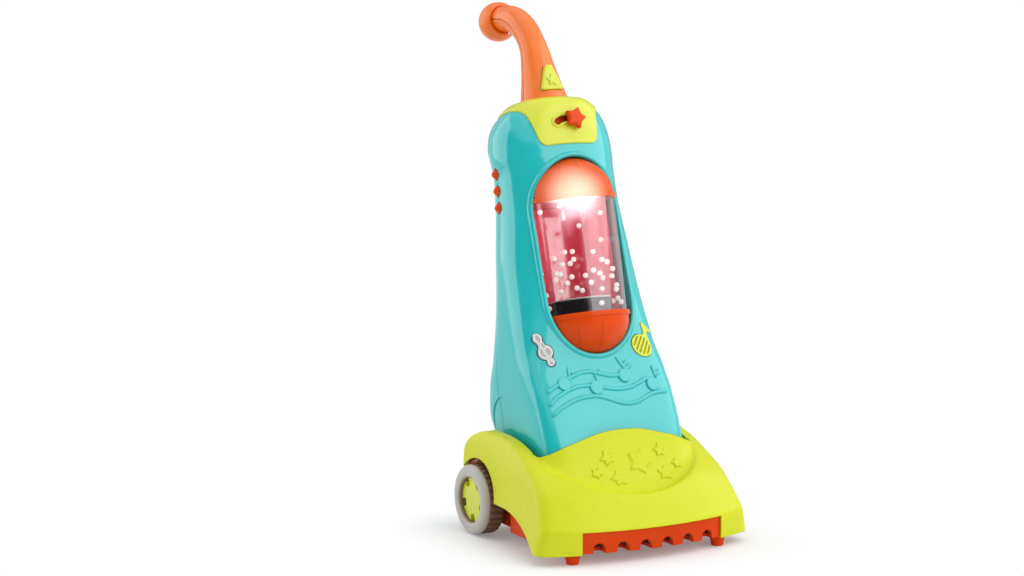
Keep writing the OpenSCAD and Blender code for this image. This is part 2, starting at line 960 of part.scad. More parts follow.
// Screw bosses, board posts and the boss of the star's pin, all inside the front shell
module front_bosses() {
    for (place = boss_places)
        both_sides()
            translate([place[0], seam_back, place[1]])
                rotate([90, 0, 0])
                    cylinder(h = front_boss_reach, d = boss_d, $fn = hull_fn);
    for (place = boss_places)
        both_sides()
            translate([place[0], -front_boss_reach + seam_back, place[1] - cradle_t / 2])
                cube([body_half, front_boss_reach, cradle_t]);
    for (w = [board_low + board_post_d, board_high - board_post_d])
        both_sides()
            translate([board_half - board_post_d, -board_ahead, w])
                rotate([90, 0, 0])
                    cylinder(h = body_front, d = board_post_d, $fn = hull_fn);
}

module rear_shell() {
    color(teal)
        upright()
            difference() {
                union() {
                    difference() {
                        body_skin();
                        front_half();
                        side_recess_shape();
                    }
                    intersection() {
                        body_form(shell_wall / 2);
                        rear_bosses();
                    }
                }
                translate([0, -tube_ahead, 0])
                    cylinder(h = tube_high + dome_h, r = dome_rim_r + 2 * fit, $fn = arc_fn);
                trunnion_holes(fit);
                handle_hole();
                door_block(slack / 2);
                for (place = boss_places)
                    both_sides()
                        translate([place[0], 0, place[1]])
                            rotate([-90, 0, 0]) {
                                cylinder(h = body_back, d = screw_d + fit, $fn = hull_fn);
                                translate([0, 0, back_wall(place) - screw_sink])
                                    cylinder(h = body_back, d = screw_head_d + 2 * fit, $fn = hull_fn);
                            }
            }
}

// Back face of the body at a screw
function back_wall(place) =
    mid_at(place[1]) + deep_at(place[1])
    * pow(1 - pow(place[0] / half_at(place[1]), square_at(place[1])), 1 / square_at(place[1]));

// Screw bosses and the two cradles that hold the canister from behind
module rear_bosses() {
    for (place = boss_places)
        both_sides()
            translate([place[0], seam_back, place[1]])
                rotate([-90, 0, 0])
                    cylinder(h = body_back, d = boss_d, $fn = hull_fn);
    for (w = [tube_low - cradle_t - lip_h - over, tube_high + lip_h + over])
        translate([-cradle_half, seam_back - cradle_in, w])
            cube([2 * cradle_half, cradle_in + body_back, cradle_t]);
}

module door_block(grow) {
    translate([-door_w / 2 - grow, seam_back, bay_low - grow])
        cube([door_w + 2 * grow, 2 * body_back, door_high - bay_low + 2 * grow]);
}

module battery_door() {
    color(teal)
        upright()
            difference() {
                intersection() {
                    body_skin();
                    door_block(0);
                }
                door_screw_hole();
            }
}

module door_screw_hole() {
    translate([0, bay_front + bay_wall, door_screw_w])
        rotate([-90, 0, 0])
            cylinder(h = 2 * body_back, d = screw_d + fit, $fn = hull_fn);
}

module battery_screw() {
    long = back_at(door_screw_w) - bay_front - bay_wall;
    color("silver")
        upright()
            translate([0, bay_front + bay_wall, door_screw_w])
                rotate([-90, 0, 0]) {
                    cylinder(h = long + screw_head_h, d = screw_d);
                    translate([0, 0, long + slack])
                        cylinder(h = screw_head_h, d = screw_head_d);
                }
}

module pivot_chassis() {
    color("#4a4e52")
        upright() {
            cross_bar(0, 0, chassis_d / 2, -chassis_half, chassis_half);
            cross_bar(0, 0, trunnion_d / 2, -cheek_out, cheek_out);
            translate([-bay_half, -bay_wall, 0])
                cube([2 * bay_half, bay_front + 2 * bay_wall, bay_low + bay_wall]);
            difference() {
                translate([-bay_half - bay_wall, bay_front, bay_low])
                    cube([2 * (bay_half + bay_wall), bay_back - bay_front, bay_high - bay_low]);
                for (k = [0:cell_count - 1])
                    translate([0, 0, cell_low + k * cell_pitch]) {
                        cross_bar(cell_back, 0, cell_d / 2 + fit, -bay_half, bay_half);
                        translate([-bay_half, cell_back, -cell_d / 2 - fit])
                            cube([2 * bay_half, cell_d, cell_d + 2 * fit]);
                    }
            }
            difference() {
                translate([-door_lug_w / 2, bay_front, bay_high - bay_wall])
                    cube([door_lug_w, bay_back - bay_front, door_lug_h + bay_wall]);
                door_screw_hole();
            }
        }
}

module batteries() {
    color("goldenrod")
        upright()
            for (k = [0:cell_count - 1])
                translate([0, 0, cell_low + k * cell_pitch])
                    cross_bar(cell_back, 0, cell_d / 2, -bay_half + fit, -bay_half + fit + cell_l);
}

module battery_springs() {
    start = -bay_half + fit + cell_l;
    color("silver")
        upright()
            for (k = [0:cell_count - 1])
                translate([0, 0, cell_low + k * cell_pitch])
                    cross_bar(cell_back, 0, spring_d / 2, start, bay_half);
}

// Canister, drawn about its own axis

module on_tube(w) {
    upright()
        translate([0, -tube_ahead, w])
            children();
}

module canister_tube() {
    color("#f4dfe4", 0.4)
        on_tube(tube_low - lip_seat)
            difference() {
                cylinder(h = tube_h + 2 * lip_seat, r = tube_r, $fn = arc_fn);
                translate([0, 0, -over])
                    cylinder(h = tube_h + 2 * lip_seat + 2 * over, r = tube_r - tube_wall, $fn = arc_fn);
            }
}

module canister_liner() {
    outer = tube_r - tube_wall - fit;
    liner_t = 1.2;
    color("#c8313f")
        on_tube(tube_low + fit)
            intersection() {
                difference() {
                    cylinder(h = tube_h - 2 * fit, r = outer, $fn = arc_fn);
                    translate([0, 0, -over])
                        cylinder(h = tube_h + 2 * over, r = outer - liner_t, $fn = arc_fn);
                }
                translate([-outer, liner_t, -over])
                    cube([2 * outer, outer, tube_h + 2 * over]);
            }
}

// One end of the canister: a lip round the tube, a floor inside it and a half ellipsoid shell
module dome_profile(outer, rim, lip) {
    steps = 14;
    floor_r = tube_r - tube_wall - fit;
    polygon(concat(
        [[0, -fit], [floor_r, -fit], [floor_r, lip_seat], [tube_r + fit, lip_seat], [tube_r + fit, -lip],
            [lip_r, -lip], [lip_r, lip_h], [rim, lip_h]],
        [for (k = [1:steps]) let (a = k * 90 / steps) [rim * cos(a), lip_h + (outer - lip_h) * sin(a)]],
        [for (k = [steps:-1:0])
            let (a = k * 90 / steps)
            [(rim - dome_wall) * cos(a), lip_h + (outer - lip_h - dome_wall) * sin(a)]],
        [[rim - dome_wall, lip_seat + fit], [0, lip_seat + fit]]
    ));
}

module dome() {
    rotate_extrude($fn = arc_fn)
        intersection() {
            dome_profile(dome_h, dome_rim_r, lip_seat / 3);
            translate([0, -dome_h])
                square([2 * lip_r, 3 * dome_h]);
        }
}

// Room that the front shell leaves round the upper dome
module dome_room() {
    steps = 10;
    rim = dome_rim_r + slack;
    rotate_extrude($fn = arc_fn / 3)
        polygon(concat(
            [[0, 0], [rim, 0]],
            [for (k = [0:steps])
                let (a = k * 90 / steps)
                [rim * cos(a), lip_h + (dome_h - lip_h + slack) * sin(a)]]
        ));
}

module top_dome() {
    color(orange)
        on_tube(tube_high)
            difference() {
                dome();
                translate([0, led_ahead, -over])
                    cylinder(h = lip_seat + 2 * over, d = led_d + 2 * fit);
            }
}

module bottom_dome() {
    color(orange)
        on_tube(tube_low)
            mirror([0, 0, 1])
                difference() {
                    dome();
                    translate([0, 0, -over])
                        cylinder(h = lip_seat + 2 * over, d = shaft_d + 2 * slack);
                }
}

module led_lamp() {
    color("white")
        on_tube(tube_high)
            translate([0, led_ahead, 0]) {
                translate([0, 0, -led_d / 2])
                    cylinder(h = led_d + lip_seat, d = led_d);
                translate([0, 0, -led_d / 2])
                    sphere(d = led_d);
                translate([0, 0, lip_seat + fit])
                    cylinder(h = lip_seat, d = led_d + lip_proud);
            }
}

module drive_motor() {
    color("silver")
        on_tube(tube_low - lip_seat - fit - motor_h)
            difference() {
                cylinder(h = motor_h, d = motor_d);
                translate([0, 0, motor_h - motor_bore])
                    cylinder(h = motor_bore + over, d = shaft_d + 2 * run);
            }
}

module agitator_shaft() {
    low = lip_seat + fit + motor_bore - slack;
    color("silver")
        on_tube(tube_low - low)
            cylinder(h = low + drum_gap + drum_h / 2, d = shaft_d);
}

module agitator() {
    blade = drum_d / 2 - drum_wall;
    color("#3a3d42")
        on_tube(tube_low + drum_gap)
            difference() {
                cylinder(h = drum_h, d = drum_d, $fn = arc_fn);
                translate([0, 0, drum_wall])
                    difference() {
                        cylinder(h = drum_h, r = blade, $fn = arc_fn);
                        cylinder(h = drum_h - drum_wall, d = 3 * shaft_d);
                        for (k = [0:2])
                            rotate([0, 0, k * 120])
                                translate([0, -drum_wall / 2, 0])
                                    cube([drum_d, drum_wall, drum_h - 2 * drum_wall]);
                    }
                translate([0, 0, -over])
                    cylinder(h = drum_h / 2 + over, d = shaft_d);
            }
}

// Beads: a ring of them resting round the drum, and the others thrown up in a spiral
module beads() {
    rest_r = (drum_d / 2 + tube_r - tube_wall) / 2 - fit;
    reach = tube_r - tube_wall - bead_d;
    rise = (tube_h - drum_h - 3 * bead_d) / bead_flying;
    color("ivory") {
        for (k = [1:bead_count - bead_flying])
            on_tube(tube_low + bead_d / 2 + fit + (k % 3) * bead_d / 3)
                rotate([0, 0, k * 360 / (bead_count - bead_flying)])
                    translate([rest_r, 0, 0])
                        sphere(d = bead_d, $fn = hull_fn);
        for (k = [1:bead_flying])
            on_tube(tube_low + drum_h + bead_d + k * rise)
                rotate([0, 0, k * golden_turn])
                    translate([reach * sqrt((k % 5 + 3) / 8), 0, 0])
                        sphere(d = bead_d, $fn = hull_fn);
    }
}

module circuit_board() {
    color("darkgreen")
        upright()
            translate([-board_half, -board_ahead, board_low])
                cube([2 * board_half, board_t, board_high - board_low]);
}

module speaker() {
    color("#2c2f33")
        upright()
            on_skin(note_at[0], note_at[1])
                translate([0, 0, -speaker_sink - speaker_h]) {
                    cylinder(h = speaker_h, d = speaker_d * magnet_share);
                    translate([0, 0, speaker_h - speaker_rim])
                        cylinder(h = speaker_rim, d = speaker_d);
                }
}

// Cap

module cap_region() {
    translate([0, 0, tongue_low])
        rotate([90, 0, 0])
            linear_extrude(2 * body_front)
                offset(r = tongue_r, $fn = hull_fn)
                    offset(delta = -tongue_r)
                        translate([-tongue_w / 2, 0])
                            square([tongue_w, body_h]);
    rotate([90, 0, 90])
        linear_extrude(2 * body_w, center = true)
            polygon([
                [-body_front, saddle_low + tongue_r], [-handle_ahead - handle_base_d / 2, saddle_low],
                [-handle_ahead, saddle_low + over], [body_back, saddle_back_low],
                [body_back, 2 * body_h], [-body_front, 2 * body_h]
            ]);
}

module top_cap() {
    color(lime)
        upright()
            difference() {
                intersection() {
                    union() {
                        difference() {
                            body_form(-cap_t, cap_row);
                            body_form(-fit / 4, cap_row);
                        }
                        translate([0, -handle_ahead, body_h])
                            cylinder(h = cap_t, d = handle_base_d, $fn = arc_fn);
                    }
                    cap_region();
                }
                handle_hole();
                star_slot();
            }
}

// Star lever: its frame lies on the cap's sloping front, centred on the lever's pin

function panel_y(w) = front_at(w) - cap_t;

module star_place() {
    translate([0, panel_y(slot_mid_w), slot_mid_w])
        rotate([90 - panel_tilt, 0, 0])
            translate([0, -slot_r, 0])
                children();
}

// The slot's outline: two arcs about the lever's pin, joined by half circles
module slot_shape(width) {
    steps = 8;
    from = 90 - slot_half;
    to = 90 + slot_half;
    polygon(concat(
        [for (k = [0:steps]) let (a = from + k * (to - from) / steps) around(slot_r + width / 2, a)],
        [for (k = [1:steps - 1]) around(slot_r, to) + around(width / 2, to + k * 180 / steps)],
        [for (k = [0:steps]) let (a = to - k * (to - from) / steps) around(slot_r - width / 2, a)],
        [for (k = [1:steps - 1]) around(slot_r, from) + around(width / 2, from + 180 + k * 180 / steps)]
    ));
}

function around(r, a) = [r * cos(a), r * sin(a)];

module star_slot() {
    star_place()
        linear_extrude(body_half, center = true)
            slot_shape(slot_w);
}

module star_window() {
    star_place()
        linear_extrude(body_half, center = true)
            slot_shape(slot_w + 2 * slack);
}

function star_points(r) =
    [for (k = [0:9])
        let (a = 90 + k * 36, d = k % 2 == 0 ? r : r * star_waist_share)
        [d * cos(a), d * sin(a)]];

module star_lever() {
    under = cap_t + shell_wall + slack;
    color(orange)
        upright()
            star_place()
                rotate([0, 0, -star_at])
                    difference() {
                        union() {
                            translate([0, slot_r, star_lift])
                                linear_extrude(star_h)
                                    polygon(star_points(star_r));
                            translate([0, slot_r, -under - lever_t])
                                cylinder(h = under + lever_t + star_lift + star_h / 2, d = stem_d);
                            translate([-lever_w / 2, 0, -under - lever_t])
                                cube([lever_w, slot_r, lever_t]);
                            translate([0, 0, -under - lever_t])
                                cylinder(h = lever_t, d = lever_w);
                        }
                        translate([0, 0, -under - lever_t - over])
                            cylinder(h = lever_t + 2 * over, d = pin_d + 2 * run);
                    }
}

module star_pin() {
    under = cap_t + shell_wall + slack;
    color("silver")
        upright()
            star_place()
                translate([0, 0, -under - lever_t - slack]) {
                    cylinder(h = under + lever_t + slack - cap_t - fit, d = pin_d);
                    translate([0, 0, -lever_t])
                        cylinder(h = lever_t, d = 2 * pin_d);
                }
}

// Handle: a straight neck and a bend in the middle plane, as [y, z, tilt, radius]

neck_end_y = -handle_ahead + handle_rise * tan(neck_tilt);
neck_end_z = handle_foot + handle_rise;
function neck_r(t) = grip_d / 2 + (handle_base_d - grip_d) / 2 * pow(1 - t, neck_ease);
function neck_row(k) =
    let (t = k / rise_steps)
    [-handle_ahead + t * handle_rise * tan(neck_tilt), handle_foot + t * handle_rise, t * neck_tilt,
        neck_r(t * grip_start_share)];
function bend_row(k) =
    let (t = k / bend_steps, a = neck_tilt + t * bend_turn)
    [
        neck_end_y + bend_r * (cos(neck_tilt) - cos(a)),
        neck_end_z + bend_r * (sin(a) - sin(neck_tilt)),
        a, neck_r(min(1, grip_start_share + t * grip_gain))
    ];
handle_rows = concat([for (k = [0:rise_steps - 1]) neck_row(k)], [for (k = [0:bend_steps]) bend_row(k)]);
handle_count = len(handle_rows);

module on_handle(row) {
    translate([0, row[0], row[1]])
        rotate([-row[2], 0, 0])
            children();
}

function handle_ring(k, inset) =
    let (row = handle_rows[k], r = row[3] - inset)
    [for (j = [0:hull_fn - 1])
        let (a = (j + 0.5) * 360 / hull_fn)
        [
            r * cos(a),
            row[0] + r * sin(a) * cos(row[2]),
            row[1] - r * sin(a) * sin(row[2])
        ]];

module handle_form(inset, first, last) {
    loft([for (k = [first:last]) handle_ring(k, inset)]);
}

// The side of the handle's middle line that faces the user's front
module handle_front_side() {
    far = body_h;
    last = handle_rows[handle_count - 1];
    rotate([90, 0, 90])
        linear_extrude(2 * handle_base_d, center = true)
            polygon(concat(
                [[-far, handle_foot - far], [-handle_ahead, handle_foot - far]],
                [for (k = [0:handle_count - 2])
                    let (a = handle_rows[k], b = handle_rows[k + 1])
                    [(a[0] + b[0]) / 2, (a[1] + b[1]) / 2]],
                [[last[0] + far, last[1]], [last[0] + far, last[1] + far], [-far, last[1] + far]]
            ));
}

module handle_shell() {
    difference() {
        union() {
            handle_form(0, 0, handle_count - 1);
            translate([0, -handle_ahead, handle_foot - spigot_h])
                cylinder(h = spigot_h + over, d = spigot_d, $fn = hull_fn);
        }
        handle_form(handle_wall, 1, handle_count - 2);
        translate([0, -handle_ahead, handle_foot - spigot_h - over])
            cylinder(h = spigot_h + handle_rise / rise_steps + 2 * over, d = spigot_d - 2 * handle_wall,
                $fn = hull_fn);
    }
}

module handle_button_place() {
    translate([0, -handle_ahead - neck_r(handle_button_share) + handle_button_proud, handle_button_mid])
        rotate([90 - handle_button_tilt, 0, 0])
            children();
}

module trapezoid(grow) {
    r = handle_button_top_w / 4;
    hull()
        for (side = [-1, 1]) {
            translate([side * (handle_button_top_w / 2 - r), handle_button_h / 2 - r])
                circle(r = r + grow, $fn = hull_fn);
            translate([side * (handle_button_w / 2 - r), -handle_button_h / 2 + r])
                circle(r = r + grow, $fn = hull_fn);
        }
}

module handle_front() {
    color(orange)
        upright()
            difference() {
                intersection() {
                    handle_shell();
                    handle_front_side();
                }
                handle_button_place()
                    linear_extrude(handle_base_d / 2, center = true)
                        trapezoid(slack);
                handle_screw_holes();
            }
}

module handle_rear() {
    color(orange)
        upright()
            difference() {
                handle_shell();
                handle_front_side();
                handle_screw_holes();
            }
}

module handle_screw_place() {
    for (share = handle_screw_shares)
        on_handle(handle_rows[round(share * (handle_count - 1))])
            rotate([-90, 0, 0])
                children();
}

module handle_screw_holes() {
    handle_screw_place()
        cylinder(h = handle_base_d, d = screw_d + fit, $fn = hull_fn);
}

module handle_screws() {
    color("silver")
        upright()
            for (share = handle_screw_shares) {
                row = handle_rows[round(share * (handle_count - 1))];
                on_handle(row)
                    rotate([-90, 0, 0]) {
                        cylinder(h = row[3], d = screw_d);
                        translate([0, 0, row[3] + fit])
                            cylinder(h = screw_head_h, d = screw_head_d);
                        cylinder(h = row[3] + 2 * fit, d = screw_d);
                    }
            }
}

module handle_knob() {
    last = handle_rows[handle_count - 1];
    color(orange)
        upright()
            on_handle(last)
                difference() {
                    translate([0, 0, knob_d / 6])
                        sphere(d = knob_d);
                    translate([0, 0, -knob_d])
                        cylinder(h = knob_d, d = grip_d + 2 * fit);
                    translate([-knob_d, -knob_d, -2 * knob_d - knob_d / 8])
                        cube(2 * knob_d);
                }
}

module handle_button() {
    color(lime)
        upright()
            handle_button_place()
                translate([0, 0, -button_depth + handle_button_proud])
                    linear_extrude(button_depth)
                        trapezoid(0);
}

// Clef-shaped button: a small loop, a round belly and a bottom ball on one stem
module clef_shape(grow) {
    rotate([0, 0, -clef_turn]) {
        for (ball = clef_shares)
            translate([0, ball[0] * clef_h])
                circle(r = ball[1] * clef_h + grow, $fn = hull_fn);
        translate([-clef_stem_w / 2 - grow, clef_shares[2][0] * clef_h])
            square([clef_stem_w + 2 * grow, (clef_shares[0][0] - clef_shares[2][0]) * clef_h]);
    }
}

module clef_button() {
    back = shell_wall + button_sink + button_flange_t;
    color("whitesmoke")
        upright()
            on_skin(clef_at[0], clef_at[1])
                translate([0, 0, -back]) {
                    linear_extrude(back + clef_proud)
                        clef_shape(0);
                    linear_extrude(button_flange_t)
                        clef_shape(button_flange);
                }
}

// Note-shaped grille: an oval head with slots, a stem and a flag
module note_outline(grow) {
    rotate([0, 0, -note_turn]) {
        circle(r = note_r + grow);
        translate([note_r * note_squash_share - note_stem_w - grow, 0])
            square([note_stem_w + 2 * grow, note_stem_h + grow]);
        translate([note_r * note_squash_share, note_stem_h - note_flag])
            rotate([0, 0, -45])
                square([note_flag + grow, note_stem_w + 2 * grow], center = true);
    }
}

module note_grille() {
    color(lime)
        upright()
            on_skin(note_at[0], note_at[1]) {
                translate([0, 0, note_proud - note_t])
                    difference() {
                        linear_extrude(note_t)
                            note_outline(0);
                        for (k = [0:note_slots - 1])
                            translate([(k - (note_slots - 1) / 2) * 2 * note_slot_w, 0, -over])
                                linear_extrude(note_t + 2 * over)
                                    square([note_slot_w, note_r * note_slot_shares[k]], center = true);
                    }
                translate([0, 0, -speaker_sink])
                    difference() {
                        cylinder(h = speaker_sink, r = note_r - fit);
                        translate([0, 0, -over])
                            cylinder(h = speaker_sink + 2 * over, r = note_r - note_stem_w / 2);
                    }
            }
}

// Side buttons: pointed domes with a flange behind the shell

module side_button_place(k) {
    w = side_top_w - k * side_pitch;
    translate([-half_at(w), -side_ahead, w])
        rotate([0, -90, 0])
            children();
}

module side_button(k) {
    stem = shell_wall + 2 * slack + press;
    color(orange)
        upright()
            side_button_place(k)
                rotate_extrude()
                    polygon(concat(
                        [for (row = side_shares) [row[0] * side_d / 2, row[1] * side_proud]],
                        [
                            [side_d / 2, -stem], [side_d / 2 + button_flange, -stem],
                            [side_d / 2 + button_flange, -stem - button_flange_t],
                            [0, -stem - button_flange_t]
                        ]
                    ));
}

module side_button_top() {
    side_button(0);
}

module side_button_middle() {
    side_button(1);
}

module side_button_bottom() {
    side_button(2);
}

module body_screws() {
    color("silver")
        upright()
            for (place = boss_places)
                both_sides()
                    translate([place[0], 0, place[1]])
                        rotate([-90, 0, 0]) {
                            seat = back_wall(place) - screw_sink;
                            translate([0, 0, -screw_bite / 2])
                                cylinder(h = seat + screw_bite / 2 + screw_head_h, d = screw_d);
                            translate([0, 0, seat])
                                cylinder(h = screw_head_h, d = screw_head_d);
                        }
}

head_cover();
base_plate();
glide_foot_left();
glide_foot_right();
axle_rod();
base_screws();
hinge_washer_left();
hinge_washer_right();
tyre_left();
tyre_right();
hub_left();
hub_right();
front_shell();
rear_shell();
pivot_chassis();
batteries();
battery_springs();
battery_door();
battery_screw();
canister_tube();
canister_liner();
top_dome();
bottom_dome();
agitator();
agitator_shaft();
drive_motor();
beads();
led_lamp();
circuit_board();
speaker();
top_cap();
star_lever();
star_pin();
handle_front();
handle_rear();
handle_knob();
handle_screws();
handle_button();
clef_button();
note_grille();
side_button_top();
side_button_middle();
side_button_bottom();
body_screws();
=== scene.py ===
# %% [markdown]
# # A toy upright vacuum cleaner
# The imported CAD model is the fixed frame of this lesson: its joints, sizes and hidden pieces stay as
# they are. Blender adds what the solids lack: smooth moulded skins, rolled edges, raised ornaments and
# plastics that look like plastics. Sizes are written in millimetres and turned into metres at the end.

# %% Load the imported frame
from math import asin, atan2, copysign, cos, hypot, pi, radians, sin, sqrt, tan, tau

import bmesh
import bpy
import numpy as np
from mathutils import Matrix, Vector


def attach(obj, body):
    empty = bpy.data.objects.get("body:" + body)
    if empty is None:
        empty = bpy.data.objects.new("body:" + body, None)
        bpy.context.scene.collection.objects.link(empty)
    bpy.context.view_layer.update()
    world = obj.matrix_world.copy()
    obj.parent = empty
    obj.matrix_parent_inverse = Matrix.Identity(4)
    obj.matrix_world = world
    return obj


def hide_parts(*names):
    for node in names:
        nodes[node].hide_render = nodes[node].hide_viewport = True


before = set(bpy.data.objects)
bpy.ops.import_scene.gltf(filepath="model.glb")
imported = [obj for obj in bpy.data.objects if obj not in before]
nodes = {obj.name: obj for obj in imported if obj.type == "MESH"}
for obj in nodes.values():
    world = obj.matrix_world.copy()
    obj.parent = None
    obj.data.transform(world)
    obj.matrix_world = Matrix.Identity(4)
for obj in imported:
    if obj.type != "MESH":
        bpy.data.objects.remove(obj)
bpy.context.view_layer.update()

MM = 0.001

# %% [markdown]
# ## Camera
# The photograph was taken from a little above and to the left of the toy's front, with a long lens. The
# place and the lens were found by matching the toy's corners, so the picture and the render line up.

# %% Camera
def aim(thing, place, target):
    thing.location = place
    thing.rotation_mode = "QUATERNION"
    thing.rotation_quaternion = (Vector(target) - Vector(place)).to_track_quat("-Z", "Y")


scene = bpy.context.scene
scene.view_settings.view_transform = "Standard"
camera = bpy.data.objects.new("camera", bpy.data.cameras.new("camera"))
camera.data.lens = 100.73
camera.data.sensor_width = 36
aim(camera, (-1.3760, -2.4832, 0.6845), (-0.0879, -0.0401, 0.2520))
scene.collection.objects.link(camera)
scene.camera = camera
print("camera lens", camera.data.lens)

# %% [markdown]
# ## Light
# A catalogue picture is lit by large soft boxes. A wide one stands beside the camera, one stands behind
# at the left and one hangs above. The gloss shows them as pale fields with clear edges, and the dark band
# between them is the part of the room that the camera stands in.

# %% Soft boxes
def softbox(name, place, target, wide, tall, watts):
    lamp = bpy.data.lights.new(name, "AREA")
    lamp.shape = "RECTANGLE"
    lamp.size, lamp.size_y, lamp.energy = wide, tall, watts
    thing = bpy.data.objects.new(name, lamp)
    thing.visible_camera = False
    scene.collection.objects.link(thing)
    aim(thing, place, target)


middle = (0, 0, 0.25)
softbox("box_right", (1.332, -1.332, 1.569), middle, 4.4, 1.95, 48)
softbox("box_left", (-1.72, 1.44, 1.06), middle, 2.5, 2.1, 23)
softbox("box_top", (0, -0.1, 2.35), middle, 2.6, 2.6, 15)

# %% [markdown]
# The room is white where the camera or a mirror looks at it, and a soft grey where it only lights the
# toy. Light Path tells the two apart, so the white background adds no light. The side of the room that
# the camera stands in is dim, as in a real studio.

# %% Shader nodes
def feed(tree, node, inputs):
    """Sets inputs of a shader node: an output of another node is linked, anything else is a value."""
    for socket, value in inputs.items():
        if isinstance(value, bpy.types.NodeSocket):
            tree.links.new(value, node.inputs[socket])
        else:
            node.inputs[socket].default_value = value


def add_node(tree, kind, inputs=None, **settings):
    made = tree.nodes.new("ShaderNode" + kind)
    for name, value in settings.items():
        setattr(made, name, value)
    feed(tree, made, inputs or {})
    return made


def maths(tree, operation, *inputs):
    return add_node(tree, "Math", dict(enumerate(inputs)), operation=operation).outputs[0]


def vector(tree, operation, *inputs):
    made = add_node(tree, "VectorMath", dict(enumerate(inputs)), operation=operation)
    return made.outputs["Value" if operation in ("DISTANCE", "DOT_PRODUCT", "LENGTH") else "Vector"]


def ramp(tree, value, start, full, low=0, high=1, how="LINEAR"):
    """Runs from low to high while the value runs from start to full."""
    limits = {"From Min": start, "From Max": full, "To Min": low, "To Max": high}
    return add_node(tree, "MapRange", {"Value": value, **limits}, interpolation_type=how).outputs[0]


def blend(tree, share, first, second):
    """A colour between two colours."""
    return add_node(tree, "Mix", {0: share, 6: first, 7: second}, data_type="RGBA").outputs[2]


def seen_directly(tree):
    """A mask that is 1 for camera, glossy and transmission rays."""
    path = add_node(tree, "LightPath").outputs
    first = maths(tree, "MAXIMUM", path["Is Camera Ray"], path["Is Glossy Ray"])
    return maths(tree, "MAXIMUM", first, path["Is Transmission Ray"])


print("shader helpers ready")

# %% White room
world = bpy.data.worlds.new("white_room")
world.use_nodes = True
scene.world = world
room = world.node_tree
room_light = room.nodes["Background"]
feed(room, room_light, {"Color": (0.97, 0.98, 1, 1), "Strength": 0.44})
way = add_node(room, "TexCoord").outputs["Generated"]
compass = vector(room, "NORMALIZE", vector(room, "MULTIPLY", way, (1, 1, 0)))


def sector(towards, start, full, inside, outside):
    """A level of the room that changes from outside to inside round a compass direction."""
    return ramp(room, vector(room, "DOT_PRODUCT", compass, towards), start, full, outside, inside, "SMOOTHSTEP")


dusk = maths(room, "MULTIPLY", sector((-0.809, -0.588, 0), 0.60, 0.78, 0.03, 0.90),
             sector((0.574, 0.819, 0), 0.80, 0.95, 0.40, 1))
sky = ramp(room, add_node(room, "SeparateXYZ", {0: way}).outputs["Z"], 0.48, 0.60, how="SMOOTHSTEP")
glossed = add_node(room, "Mix", {0: sky, 2: dusk, 3: 1}).outputs[0]
glossy_ray = add_node(room, "LightPath").outputs["Is Glossy Ray"]
shown = add_node(room, "Mix", {0: glossy_ray, 2: 1, 3: glossed}).outputs[0]
room_white = add_node(room, "Background", {"Color": (1, 1, 1, 1), "Strength": shown})
room_mix = add_node(room, "MixShader", {0: seen_directly(room), 1: room_light.outputs[0], 2: room_white.outputs[0]})
feed(room, room.nodes["World Output"], {"Surface": room_mix.outputs[0]})
print("room light", room_light.inputs["Strength"].default_value)

# %% [markdown]
# The floor is a pale disc that keeps the toy's soft shadow near it and melts into the white room further
# out, so no edge of the floor shows.

# %% Floor
FLOOR_R = 3.0
SHADOW_HALF, FADE_OUT = (0.10, 0.09, 0), 0.09
bm = bmesh.new()
bmesh.ops.create_circle(bm, cap_ends=True, radius=FLOOR_R, segments=96)
floor_mesh = bpy.data.meshes.new("floor")
bm.to_mesh(floor_mesh)
bm.free()
floor = bpy.data.objects.new("floor", floor_mesh)
floor.location = (0, -0.065, -0.0005)
scene.collection.objects.link(floor)
floor_finish = bpy.data.materials.new("pale_floor")
floor_finish.use_nodes = True
tree = floor_finish.node_tree
paper = tree.nodes["Principled BSDF"]
grain = add_node(tree, "TexNoise", {"Scale": 60}).outputs["Fac"]
feed(tree, paper, {"Roughness": 0.9, "Specular IOR Level": 0.1,
                   "Base Color": blend(tree, grain, (0.93, 0.93, 0.935, 1), (0.95, 0.95, 0.95, 1))})
fold = vector(tree, "ABSOLUTE", add_node(tree, "TexCoord").outputs["Object"])
beyond = vector(tree, "MAXIMUM", vector(tree, "SUBTRACT", fold, SHADOW_HALF))
fade = ramp(tree, vector(tree, "LENGTH", beyond), 0, FADE_OUT, 0.2, how="SMOOTHSTEP")
seen = maths(tree, "MULTIPLY", seen_directly(tree), fade)
white = add_node(tree, "Emission")
melt = add_node(tree, "MixShader", {0: seen, 1: paper.outputs[0], 2: white.outputs[0]})
feed(tree, tree.nodes["Material Output"], {"Surface": melt.outputs[0]})
floor_mesh.materials.append(floor_finish)
print("floor radius", FLOOR_R)

# %% [markdown]
# ## Moulded plastic
# Every plastic piece of the toy comes out of a polished steel mould. Three faint things keep it from
# looking like paint: slow drifts of colour where the melt flowed, a gloss that changes a little, and a
# very fine ripple. A node group makes the three once, and each plastic sets its own values.

# %% The moulded skin group
def noise(tree, scale, detail):
    coords = add_node(tree, "TexCoord").outputs["Object"]
    return add_node(tree, "TexNoise", {"Scale": scale, "Detail": detail, "Vector": coords}).outputs["Fac"]


